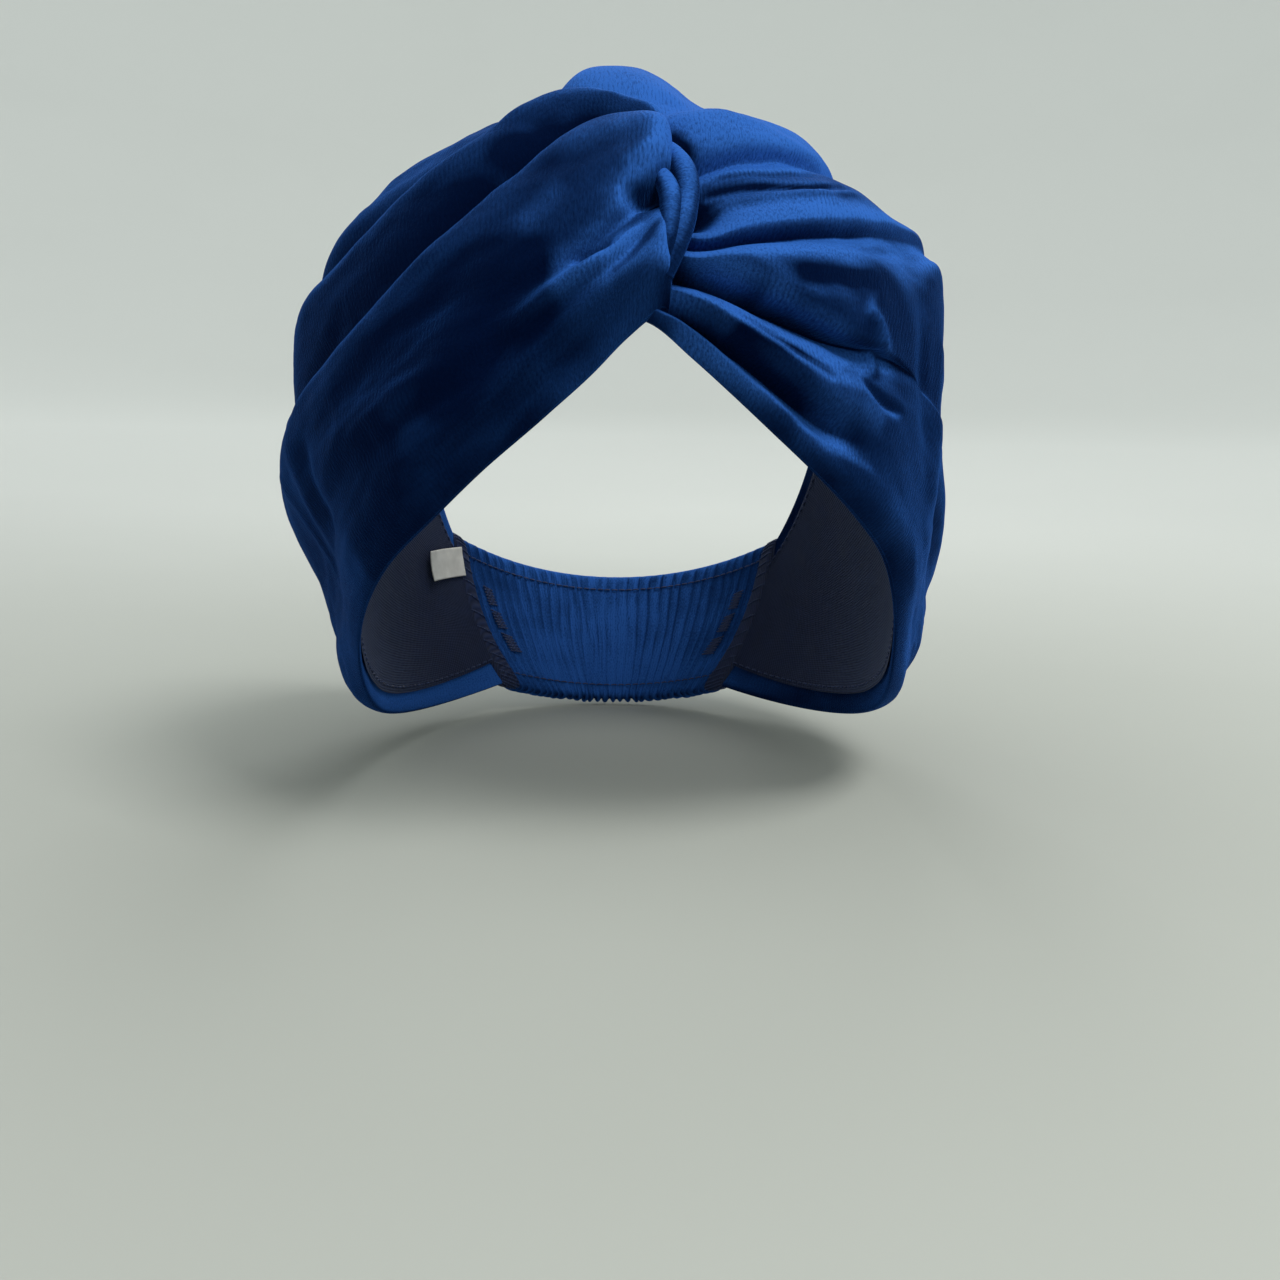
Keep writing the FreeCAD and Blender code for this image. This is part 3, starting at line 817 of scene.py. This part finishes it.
def follow(line, first_turn, seam_turn, along, lead_in):
    """One fold line as turn, fall and stand-off at each place along the loop."""
    _, share, seam_stand_off, places = line
    turns, falls, stand_offs = (list(v) for v in zip(*places))
    join_turn, join_fall = join_angles(share)
    if turns[0] > first_turn and lead_in is None:
        turns, falls, stand_offs = [first_turn, *turns], [falls[0], *falls], [stand_offs[0], *stand_offs]
    knots, real_turns = [*turns, seam_turn], [*turns, join_turn]
    falls, stand_offs = [*falls, join_fall], [*stand_offs, seam_stand_off]
    if lead_in:
        lead_knots, lead_turns, lead_shares = lead_in
        knots, real_turns = [*lead_knots, *knots], [*lead_turns, *real_turns]
        falls = [falls[0]] * len(lead_knots) + falls
        stand_offs = [stand_offs[0] * s for s in lead_shares] + stand_offs
    return [through(knots, v, along) for v in (real_turns, falls, stand_offs)]


def loop_controls(lines, first_turn, lead_in):
    """The control points of every cross-section, outside and inside."""
    seam_turn = lines[0][3][-1][0] + JOIN_LENGTH
    along = np.linspace(lead_in[0][0] if lead_in else first_turn, seam_turn, LOOP_ALONG)
    outer = np.array([np.transpose(follow(line, first_turn, seam_turn, along, lead_in)) for line in lines])
    top, bottom = outer[-1], outer[0]
    shares = np.array(INNER_SHARES[::-1])[:, None, None]
    inner = top + (bottom - top) * shares
    inner[..., 2] = np.clip(bottom[:, 2] * 0.5, LEAST_STAND_OFF, INNER_STAND_OFF)
    return np.concatenate([outer, inner]), along


def distance_to_path(turn, fall, path):
    """The distance in degrees from places to a path, and the share of the path's length passed."""
    path = np.asarray(path, float)
    scale = np.sin(np.radians(path[:, 1].mean()))
    run = np.concatenate([[0], np.cumsum(np.linalg.norm(np.diff(path * (scale, 1), axis=0), axis=1))])
    at = np.linspace(0, run[-1], 24)
    line = np.stack([through(run, path[:, 0] * scale, at), through(run, path[:, 1], at)], 1)
    nearest, passed = np.full(turn.shape, 1e9), np.zeros(turn.shape)
    place = np.stack([turn * scale, fall], -1)
    for k in range(len(line) - 1):
        step = line[k + 1] - line[k]
        s = np.clip(((place - line[k]) @ step) / (step @ step), 0, 1)
        gap = np.linalg.norm(place - line[k] - s[..., None] * step, axis=-1)
        closer = gap < nearest
        nearest = np.where(closer, gap, nearest)
        passed = np.where(closer, (k + s) / (len(line) - 1), passed)
    return nearest, passed


def crease(turn, fall, path, reach, height):
    """How far a small fold moves each place: full along its middle, nothing at its ends."""
    near = abs(turn - np.mean([p[0] for p in path])) < CREASE_SPAN
    gap, passed = distance_to_path(turn, fall, path)
    ends = np.sqrt(np.clip(np.sin(np.pi * passed), 0, 1))
    return near * height * ends * np.exp(-((gap / reach) ** 2))


def painted_patches(turn, fall, marks):
    """How much painted light or painted shade each place gets from the patches. A patch fades away from the
    knot.
    """
    light = np.zeros(turn.shape)
    for path, reach, strength in marks:
        gap, passed = distance_to_path(turn, fall, path)
        fading = 1 - smoothstep(FADE_FROM, 1.0, passed)
        near = abs(turn - path[0][0]) < PAINTED_PATCH_SPAN
        light += strength * fading * np.exp(-((gap / reach) ** 2)) * near
    return light


def wrinkles(turn, fall, seed):
    """Slack in the cloth: long soft folds along it, and finer ones across them."""
    long_folds = noise_at(turn * 0.030 + seed, fall * 0.150, seed)
    short_folds = noise_at(turn * 0.085 + seed, fall * 0.33, seed + 5)
    fine = noise_at(turn * 0.26 + seed, fall * 0.75, seed + 9)
    return 0.9 * long_folds + 0.55 * short_folds + 0.22 * fine


def join_gathers(along, share):
    """Small pleats where the cloth is gathered into the seam, deeper towards it."""
    length = along[-1] - along[0]
    depth = smoothstep(along[-1] - 0.24 * length, along[-1] - 0.03 * length, along)
    depth = depth * (1 - 0.75 * smoothstep(along[-1] - 0.035 * length, along[-1], along))
    drift = noise_at(along[None, :] * 0.03, share[:, None] * 3.0, 2.0)
    return 1.5 * depth * np.sin(2 * np.pi * (share[:, None] * 8.5 + 0.55 * drift))


def loop_mesh(name, lines, creases, marks, side, painted_side_light, first_turn, lead_in, seed):
    """One velvet loop: a flattened, folded tube of cloth, closed at both ends."""
    controls, along = loop_controls(lines, first_turn, lead_in)
    section = closed_curve(controls, LOOP_AROUND, CRISPNESS)
    turn, fall, stand_off = section[..., 0], section[..., 1], section[..., 2].copy()
    outside = np.linspace(0, 1, LOOP_AROUND, endpoint=False) * len(controls) / (len(lines) - 1)
    cover = smoothstep(0.01, 0.06, outside) * (1 - smoothstep(0.94, 0.99, outside))
    before_join = 1 - smoothstep(along[-1] - 9, along[-1] - 1, along)[None, :]
    cover = cover[:, None] * smoothstep(-8, 4, turn) * before_join
    folded = stand_off.copy()
    for path, reach, height in creases:
        folded += cover * crease(turn, fall, path, reach, height)
    folded += cover * wrinkles(turn, fall, seed)
    folded += cover * join_gathers(along, np.clip(outside, 0, 1))
    stand_off = np.where(outside[:, None] < 1, np.maximum(folded, LEAST_OUTSIDE), stand_off)
    points = on_head(side * turn, fall, stand_off)
    closed, faces = closed_tube(points, int((outside < 1).sum()) + 1)
    obj = make_mesh(name, closed, faces, VELVET)
    lay_uv(obj, points)
    # Painted highlight on crests and painted shade in creases, from the relief, plus the painted light and
    # shade patches.
    width = LOOP_AROUND // 24
    smooth = sum(np.roll(stand_off, k, 0) for k in range(-width, width + 1)) / (2 * width + 1)
    relief = np.clip(0.5 + (stand_off - smooth) / RELIEF_HEIGHT, 0, 1)
    lift = relief * RELIEF_PAINTED_LIGHT + painted_patches(turn, fall, marks)
    mark_painted_light(obj, painted_side_light, lift.ravel())
    return obj


# The left loop ends, closed, under the right one past the knot: extra places before the first turn,
# the turns they really lie at, and the share of the first stand-offs that they keep.
LEFT_LEAD_IN = ((-12, -8.5, -5), (4, -1.0, -2.3), (0.12, 0.28, 0.66))

left_loop = loop_mesh(
    "left_loop_cloth", LEFT_LINES, LEFT_CREASES, LEFT_PAINTED_PATCHES, side=-1, painted_side_light=LEFT_PAINTED_LIGHT_FROM, first_turn=-1,
    lead_in=LEFT_LEAD_IN, seed=3.0,
)
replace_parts(left_loop, "left_loop")
right_loop = loop_mesh(
    "right_loop_cloth", RIGHT_LINES, RIGHT_CREASES, RIGHT_PAINTED_PATCHES, side=1, painted_side_light=RIGHT_PAINTED_LIGHT_FROM, first_turn=-30,
    lead_in=None, seed=8.0,
)
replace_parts(right_loop, "right_loop")


# ---------------------------------------------------------------- the knot


def on_path(places, samples):
    """A smooth line through places of turn, fall and stand-off."""
    places = np.array(places, float)
    at = np.linspace(0, len(places) - 1, samples)
    knots = range(len(places))
    return on_head(*(through(knots, places[:, k], at) for k in range(3)))


# The hemmed edges of the left loop's bend show beside the knot as two soft cords: places of turn, fall
# and stand-off, and the radius in millimetres.
BEND_HEMS = {
    "left_loop_outer_bend_hem": (
        [(-4, 81, 8), (-1, 81.6, 13), (1.2, 82.8, 15.6), (3.2, 85.2, 16.4), (4.0, 88.3, 16.2),
         (3.6, 91.5, 15.4), (2.6, 94.4, 14), (1.0, 97.2, 11.5)],
        2.8,
    ),
    "left_loop_inner_bend_hem": (
        [(-4, 84.6, 9), (-1.4, 85.4, 13.4), (0.5, 87.0, 16.2), (1.6, 89.2, 17), (1.7, 91.6, 16.6),
         (1.3, 94.4, 15.2), (0.2, 97, 12)],
        2.4,
    ),
}


def bend_hem(name, places, radius):
    path = on_path(places, 90)
    along = np.linspace(0, 1, len(path))
    swell = 1 + 0.10 * noise_at(along * 7, radius * 5) + 0.025 * noise_at(along * 22, radius * 9)
    tube = swept(path, radius * MM * swell * (0.75 + 0.25 * np.sin(np.pi * along)), 22)
    points, faces = closed_tube(tube)
    obj = make_mesh(name, points, faces, VELVET)
    lay_uv(obj, tube)
    mark_painted_light(obj, RIGHT_PAINTED_LIGHT_FROM)
    return obj


bend_hems = [bend_hem(name, places, radius) for name, (places, radius) in BEND_HEMS.items()]

KNOT_CENTRE = np.array([0.003, -0.0863, 0.0599])
KNOT_LEAN = math.radians(35.0)
KNOT_OUT = np.array([0, -math.cos(KNOT_LEAN), math.sin(KNOT_LEAN)])
TACK_LENGTH, TACK_PITCH = 8.6 * MM, 3.0 * MM


def twisted_pair(start, end, spread, turns, radius, samples=48):
    """Two threads wound round each other from start to end."""
    at = np.linspace(0, 1, samples)[:, None]
    line = start + (end - start) * at
    direction = (end - start) / np.linalg.norm(end - start)
    first = np.cross(direction, (1.0, 0.0, 0.0))
    second = np.cross(direction, first)
    tubes = []
    for phase in (0, math.pi):
        angle = 2 * math.pi * turns * at + phase
        tubes.append(swept(line + spread * (np.cos(angle) * first + np.sin(angle) * second), radius, 8))
    return tubes


def knot_tacks():
    tubes = []
    for step in (-1, 0, 1):
        outer_end = KNOT_CENTRE + np.array([step * TACK_PITCH, 0, 0]) - 0.2 * MM * KNOT_OUT
        tubes += twisted_pair(outer_end - KNOT_OUT * TACK_LENGTH, outer_end, 0.24 * MM, 3.5, 0.24 * MM)
    return joined("knot_tack_threads", tubes, THREAD)


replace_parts(knot_tacks(), "knot_tacks")

# ---------------------------------------------------------------- the linings

LINING_INSET = 3.4
LINING_OUTER, LINING_INNER = 1.15, 0.35
LINING_ALONG, LINING_ROWS = 150, 56


def flat_ring(low, high, rows):
    """Values that go from low to high in equal steps and back again, as a column, and which of them
    are on the way back."""
    there = np.linspace(low, high, rows)
    return np.concatenate([there, there[::-1]])[:, None], np.repeat([False, True], rows)[:, None]


def lining_edges(lines, first_turn):
    """The turn and fall of the lining's low and top edges at each place along it."""
    seam_turn = lines[0][3][-1][0] + JOIN_LENGTH
    along = np.linspace(first_turn, seam_turn - 0.7, LINING_ALONG)
    edges = (lines[0], lines[-1])
    bottom, top = (np.array(follow(line, first_turn, seam_turn, along, None))[:2] for line in edges)
    span = top - bottom
    inset = LINING_INSET * span / abs(span[1])
    return bottom + inset, top - inset


def lining(name, lines, side, first_turn):
    """The jersey backing of one loop, with its turned edges just inside the velvet's."""
    bottom, top = lining_edges(lines, first_turn)
    share, back = flat_ring(0.0, 1.0, LINING_ROWS)
    turn, fall = (bottom[k] + (top[k] - bottom[k]) * share for k in range(2))
    rounding = np.sqrt(np.clip(1 - (abs(2 * share - 1) ** 40), 0, 1))
    middle, half = (LINING_OUTER + LINING_INNER) / 2, (LINING_OUTER - LINING_INNER) / 2
    slack = 0.16 * noise_at(turn * 0.12, fall * 0.12, side * 4.0)
    stand_off = middle + np.where(back, -1, 1) * half * rounding + slack
    points = on_head(side * turn, fall, stand_off)
    flat, faces = closed_tube(points, LINING_ROWS)
    obj = make_mesh(name, flat, faces, JERSEY)
    lay_uv(obj, points)
    return obj


def even_places(line, spacing):
    """Points at equal spacing along a line."""
    run = np.concatenate([[0], np.cumsum(np.linalg.norm(np.diff(line, axis=0), axis=1))])
    at = np.linspace(0, run[-1], int(run[-1] / spacing) + 1)
    return np.stack([np.interp(at, run, line[:, k]) for k in range(3)], 1)


def stitch_row(line, pitch, gap, lift):
    """Stitches along a line, each a little shorter than the pitch."""
    holes = even_places(line, pitch * MM)
    ends = holes[1:] - (holes[1:] - holes[:-1]) * gap
    return [stitch(a, b, lift) for a, b in zip(holes[:-1], ends)]


def lining_stitches(name, lines, side, first_turn):
    """The row of stitches that holds each turned edge of the lining."""
    bottom, top = lining_edges(lines, first_turn)
    tubes = []
    for share in (0.025, 0.975):
        turn, fall = bottom + (top - bottom) * share
        tubes += stitch_row(on_head(side * turn, fall, LINING_INNER + 0.05), 3.0, 0.22, -0.35)
    return joined(name, tubes, THREAD)


left_lining = lining("left_lining_jersey", LEFT_LINES, -1, -1.2)
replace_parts(left_lining, "left_lining")
right_lining = lining("right_lining_jersey", RIGHT_LINES, 1, 2.2)
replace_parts(right_lining, "right_lining")
lining_threads = [
    lining_stitches("left_lining_stitches", LEFT_LINES, -1, -0.8),
    lining_stitches("right_lining_stitches", RIGHT_LINES, 1, 2.6),
]

# ---------------------------------------------------------------- the nape strap


def stretch_with_nape(*pieces):
    """Bakes each piece's placing into its points."""
    for piece in pieces:
        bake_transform(piece)


# The casing's section: level, stand-off and the share of the gathers' height at places round it. Two
# stitched lines pinch it into a channel and a narrow frill above and below.
CASING_SECTION = np.array([
    (-11.8, 1.4, 0.5), (-12.8, 2.8, 1.0), (-11.8, 4.4, 1.3), (-9.6, 4.8, 1.2), (-7.4, 2.9, 0.35),
    (-5.4, 4.9, 0.9), (0, 5.3, 1.0), (6, 5.4, 1.1), (14, 5.4, 1.1), (20, 5.3, 1.0), (25.4, 4.9, 0.9),
    (27.4, 2.9, 0.35), (29.6, 4.8, 1.2), (31.8, 4.4, 1.3), (32.8, 2.8, 1.0), (31.8, 1.4, 0.5),
    (27, 0.9, 0.3), (17, 0.8, 0.35), (3, 0.8, 0.35), (-7, 0.9, 0.3),
])
CASING_TOP_CORNER = 15
CHANNEL_LINES = (-7.4, 27.4)
GATHER_PITCH, GATHER_HEIGHT = 4.3, 1.05
CASING_AROUND, CASING_ALONG = 96, 340
ELASTIC_ROWS, ELASTIC_ALONG = 40, 200
STRAP_HALF_LENGTH = 66.0
CASING_BACK = SEAM_BACK + 0.6 * MM


def gathers(along, level):
    """The height from -1 to 1 of the small pleats that stand across the gathered strap."""
    x = along * STRAP_HALF_LENGTH
    drift = 0.42 * noise_at(x / 8.0, level / 17.0, 1.0) + 0.16 * noise_at(x / 3.2, level / 6.0, 4.0)
    wave = np.sin(2 * np.pi * (x / GATHER_PITCH + drift))
    size = 0.75 + 0.5 * noise_at(x / 10.0, level / 12.0, 7.0)
    return np.sign(wave) * abs(wave) ** 0.8 * size


def strap_points(section, along, back):
    """Points of a strap whose section has level and stand-off, from one join to the other."""
    level, stand_off = section
    level, stand_off, along = np.broadcast_arrays(level, stand_off, along)
    return on_strap(along * swing_at(back, level, stand_off), level, stand_off)


def nape_casing():
    section = closed_curve(CASING_SECTION, CASING_AROUND, 0.45)
    along = np.linspace(-1, 1, CASING_ALONG)[None, :]
    level, stand_off, share = (section[:, k : k + 1] for k in range(3))
    calm = 1 - 0.8 * smoothstep(0.90, 0.985, abs(along))
    height = gathers(along, level) * share * calm
    edge = smoothstep(10, 23, abs(level - 10))
    moved = stand_off + GATHER_HEIGHT * height
    points = strap_points((level + 0.5 * edge * np.sign(level - 10) * height, moved), along, CASING_BACK)
    flat, faces = closed_tube(points, CASING_TOP_CORNER * CASING_AROUND // len(CASING_SECTION))
    obj = make_mesh("nape_casing_velvet", flat, faces, VELVET, None)
    lay_uv(obj, points)
    # Painted highlight on the gathers' crests and painted shade in their hollows.
    lift = np.clip(0.5 + 0.4 * np.broadcast_to(height, points.shape[:2]), 0, 1)
    mark_painted_light(obj, RIGHT_PAINTED_LIGHT_FROM, lift.ravel())
    return obj


def casing_stitches():
    """The two stitched lines that hold the elastic in its channel, on the outside and the inside."""
    along = np.linspace(-0.975, 0.975, 400)
    tubes = []
    for level in CHANNEL_LINES:
        outside = 3.0 + GATHER_HEIGHT * 0.35 * gathers(along, np.full(along.shape, level))
        for stand_off, lift in ((outside, 0.30), (np.full(along.shape, 0.72), -0.30)):
            line = strap_points((np.full(along.shape, level), stand_off), along, CASING_BACK)
            tubes += stitch_row(line, 2.6, 0.2, lift)
    return joined("nape_casing_stitches", tubes, THREAD, None)


def nape_elastic():
    """A flat braided elastic, rippled a little where the casing gathers it."""
    level, back = flat_ring(-6.4, 26.4, ELASTIC_ROWS)
    along = np.linspace(-1, 1, ELASTIC_ALONG)[None, :]
    ripple = 0.14 * np.sin(2 * np.pi * along * STRAP_HALF_LENGTH / GATHER_PITCH)
    ribs = 0.07 * np.cos(2 * np.pi * level / 1.8)
    stand_off = 3.0 + np.where(back, -1, 1) * (0.5 + ribs) + ripple
    points = strap_points((level, stand_off), along, CASING_BACK)
    flat, faces = closed_tube(points, ELASTIC_ROWS)
    obj = make_mesh("nape_elastic_braid", flat, faces, ELASTIC, None)
    lay_uv(obj, points)
    return obj


BARTACK_LEVELS = (3.0, 10.0, 17.0)
BARTACK_BACK = BINDING_HIGH + 4.2 * MM
ZIGZAG_CORNERS = 13


def elastic_tacks():
    """Three short zigzag bars at each end, through the casing and the elastic, on both faces."""
    tubes = []
    zigzag = np.linspace(-1, 1, ZIGZAG_CORNERS)
    for side in (-1, 1):
        for level in BARTACK_LEVELS:
            for stand_off in (6.05, 0.35):
                back = BARTACK_BACK + 1.15 * MM * np.where(np.arange(ZIGZAG_CORNERS) % 2, 1, -1)
                up = level + 2.6 * zigzag
                swing = side * swing_at(back, up, stand_off)
                corners = on_strap(swing, up, np.full(ZIGZAG_CORNERS, stand_off))
                tubes.append(swept(even_places(corners, 0.35 * MM), 0.27 * MM, 7))
    return joined("elastic_tack_threads", tubes, THREAD, None)


casing = nape_casing()
casing_threads = casing_stitches()
elastic = nape_elastic()
tacks = elastic_tacks()
stretch_with_nape(casing, casing_threads, elastic, tacks)
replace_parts(casing, "nape_casing")
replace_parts(elastic, "nape_elastic")
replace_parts(tacks, "elastic_tacks")

# ---------------------------------------------------------------- the joins

# The middle line of the binding round the strap's section, as level and stand-off.
BINDING_LINE = np.array([
    (-10.9, 1.6), (-11.6, 2.6), (-10.9, 3.5), (-7, 4.0), (3, 4.1), (17, 4.1), (27, 4.0), (30.9, 3.5),
    (31.6, 2.6), (30.9, 1.6), (27, 0.9), (17, 0.8), (3, 0.8), (-7, 0.9),
])
BINDING_HALF_WIDTH = (BINDING_HIGH - BINDING_LOW) / 2 + 0.15 * MM
BINDING_THICKNESS = 1.0
TAPE_ALONG, TAPE_AROUND = 150, 18


def binding_ring(samples):
    """The binding's middle line, and the direction away from the seam at each place on it."""
    line = closed_curve(BINDING_LINE, samples, 0.5)
    tangent = np.roll(line, -1, 0) - np.roll(line, 1, 0)
    tangent /= np.linalg.norm(tangent, axis=1, keepdims=True)
    return line, np.stack([-tangent[:, 1], tangent[:, 0]], 1)


def at_join(side, back, level, stand_off):
    return on_strap(side * swing_at(back, level, stand_off), level, stand_off)


def binding(side_name, side):
    """The tape folded round the raw edges of the seam: a flattened tube that runs right round it."""
    line, outward = binding_ring(TAPE_ALONG)
    angle = np.linspace(0, 2 * np.pi, TAPE_AROUND, endpoint=False)[:, None]
    flatness = 0.6
    across = np.sign(np.cos(angle)) * abs(np.cos(angle)) ** flatness
    proud = np.sign(np.sin(angle)) * abs(np.sin(angle)) ** flatness * BINDING_THICKNESS
    pucker = 1 + 0.12 * noise_at(np.arange(TAPE_ALONG)[None, :] * 0.33, angle * 0 + side * 3.0)
    level = line[:, 0] + proud * pucker * outward[:, 0]
    stand_off = line[:, 1] + proud * pucker * outward[:, 1]
    points = at_join(side, SEAM_BACK + BINDING_HALF_WIDTH * across, level, stand_off)
    faces = grid_faces(TAPE_AROUND, TAPE_ALONG, closed_rows=True, closed_columns=True)
    obj = make_mesh(f"{side_name}_join_binding_tape", points, faces, TAPE)
    lay_uv(obj, points)
    return obj


def binding_stitches(side_name, side):
    """Overlock stitches across the binding, all the way round."""
    line, outward = binding_ring(40)
    tubes = []
    across = np.linspace(-0.96, 0.96, 9)
    reach = BINDING_HALF_WIDTH * across
    for (level, stand_off), (up, out) in zip(line, outward):
        rise = BINDING_THICKNESS * np.sqrt(1 - across**4) + 0.12
        slant = 0.5 * np.linspace(-1, 1, len(across))
        levels, stand_offs = level + rise * up + slant * out, stand_off + rise * out - slant * up
        path = at_join(side, SEAM_BACK + reach, levels, stand_offs)
        tubes.append(swept(path, 0.22 * MM, 6))
    return joined(f"{side_name}_join_stitches", tubes, THREAD)


bindings, binding_threads = [], []
for side_name, side in (("left", -1), ("right", 1)):
    bindings.append(binding(side_name, side))
    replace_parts(bindings[-1], f"{side_name}_join_binding")
    binding_threads.append(binding_stitches(side_name, side))

# ---------------------------------------------------------------- the label

LABEL_LOW, LABEL_HIGH = (np.array(corner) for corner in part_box("care_label"))
LABEL_STAND_OFF, LABEL_THICKNESS = -0.2, 0.32
LABEL_ROWS, LABEL_ALONG = 24, 44


def care_label():
    """A blank satin label: one end is in the seam, and the other curls a little away from the lining."""
    height, back = flat_ring(LABEL_LOW[2], LABEL_HIGH[2], LABEL_ROWS)
    y = np.linspace(LABEL_LOW[1], LABEL_HIGH[1] + 0.4 * MM, LABEL_ALONG)[None, :]
    free = np.clip((LABEL_HIGH[1] - y) / (LABEL_HIGH[1] - LABEL_LOW[1]), 0, 1)
    cup = (2 * (height - LABEL_LOW[2]) / (LABEL_HIGH[2] - LABEL_LOW[2]) - 1) ** 2
    curl = 1.5 * free**2.2 + 0.35 * free * cup + 0.10 * noise_at(y * 300, height * 300)
    stand_off = LABEL_STAND_OFF - LABEL_THICKNESS * back - curl
    half = HEAD_HALF + stand_off[..., None] * MM
    y, z = np.broadcast_arrays(y, height)
    x = -half[..., 0] * np.sqrt(1 - (y / half[..., 1]) ** 2 - ((z - HEAD_CENTRE[2]) / half[..., 2]) ** 2)
    points = np.stack([x, y, z], -1)
    flat, faces = closed_tube(points, LABEL_ROWS)
    obj = make_mesh("blank_care_label", flat, faces, SATIN)
    lay_uv(obj, points)
    return obj


label = care_label()
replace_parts(label, "care_label")

# ---------------------------------------------------------------- stage


def stage(floor_z):
    """A pale floor that sweeps up into a round wall, so that it is plain from every side. Its paper is
    painted darker towards the middle, under the object, as painted shade.
    """
    profile = [(0.6, 0.0), (1.0, 0.02), (1.5, 0.12), (2.0, 0.32), (2.5, 0.68), (2.9, 1.2), (3.1, 2.0)]
    angle = np.linspace(0, 2 * math.pi, 96, endpoint=False)
    rings = [[(r * math.cos(a), r * math.sin(a), floor_z + h) for a in angle] for r, h in profile]
    faces = grid_faces(len(rings), len(angle), closed_columns=True) + [tuple(range(len(angle)))[::-1]]
    mesh = bpy.data.meshes.new("floor")
    mesh.from_pydata([p for ring in rings for p in ring], [], faces)
    face_outwards(mesh)
    mesh.shade_smooth()
    floor = bpy.data.objects.new("floor", mesh)
    bpy.context.scene.collection.objects.link(floor)
    paper = Nodes("sage_paper")
    away = paper.add("VectorMath", "LENGTH", i0=paper.place()).outputs[1]
    mottled = paper.noise(paper.place(), 3.0, 3.0)
    # Painted shade: darker near the middle, pale farther out, with random mottling.
    shade_falloff_and_mottling = paper.total((paper.ramp(away, 0.10, 1.3), 0.96), (mottled, 0.08))
    paper.shade(Base_Color=paper.mix(shade_falloff_and_mottling, (0.34, 0.36, 0.33, 1), (0.80, 0.83, 0.81, 1)), Roughness=0.95)
    paper.shade(Specular_IOR_Level=0.1)
    floor.data.materials.append(paper.material)


def room_light(color, strength):
    world = bpy.data.worlds.new("soft_room")
    world.use_nodes = True
    background = world.node_tree.nodes["Background"]
    background.inputs["Color"].default_value = color
    background.inputs["Strength"].default_value = strength
    bpy.context.scene.world = world
    bpy.context.scene.view_settings.view_transform = "Standard"


def area_light(name, place, size, power, tint=(1, 1, 1)):
    """A square soft light that looks at the middle of the object."""
    lamp = bpy.data.lights.new(name, "AREA")
    lamp.shape = "SQUARE"
    lamp.size = size
    lamp.energy = power
    lamp.color = tint
    obj = bpy.data.objects.new(name, lamp)
    bpy.context.scene.collection.objects.link(obj)
    obj.location = place
    obj.rotation_euler = (-Vector(place)).to_track_quat("-Z", "Y").to_euler()


def camera():
    """At brow height in front, a little to the wearer's right, looking down by ten degrees."""
    distance, height = 0.375, 0.014
    swing, pitch, roll = math.radians(3.0), math.radians(9.9), math.radians(1.46)
    aside = math.radians(0.72)
    data = bpy.data.cameras.new("camera")
    data.lens, data.sensor_width = 36.028125, 36.0
    data.clip_start = 0.01
    obj = bpy.data.objects.new("camera", data)
    bpy.context.scene.collection.objects.link(obj)
    place = Vector((-math.sin(swing) * distance, -math.cos(swing) * distance, height))
    look = Matrix.Rotation(-(swing + aside), 4, "Z") @ Matrix.Rotation(math.pi / 2 - pitch, 4, "X")
    obj.matrix_world = Matrix.Translation(place) @ look @ Matrix.Rotation(roll, 4, "Z")
    bpy.context.scene.camera = obj


low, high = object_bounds()
stage(low[2] - 0.0005)
camera()
room_light((0.95, 0.98, 0.96, 1), 0.72)
area_light("window", (0.40, -0.46, 0.90), 0.40, 8.0, (1.0, 0.98, 0.95))
area_light("back", (0.10, 0.75, 0.75), 0.5, 3.0)
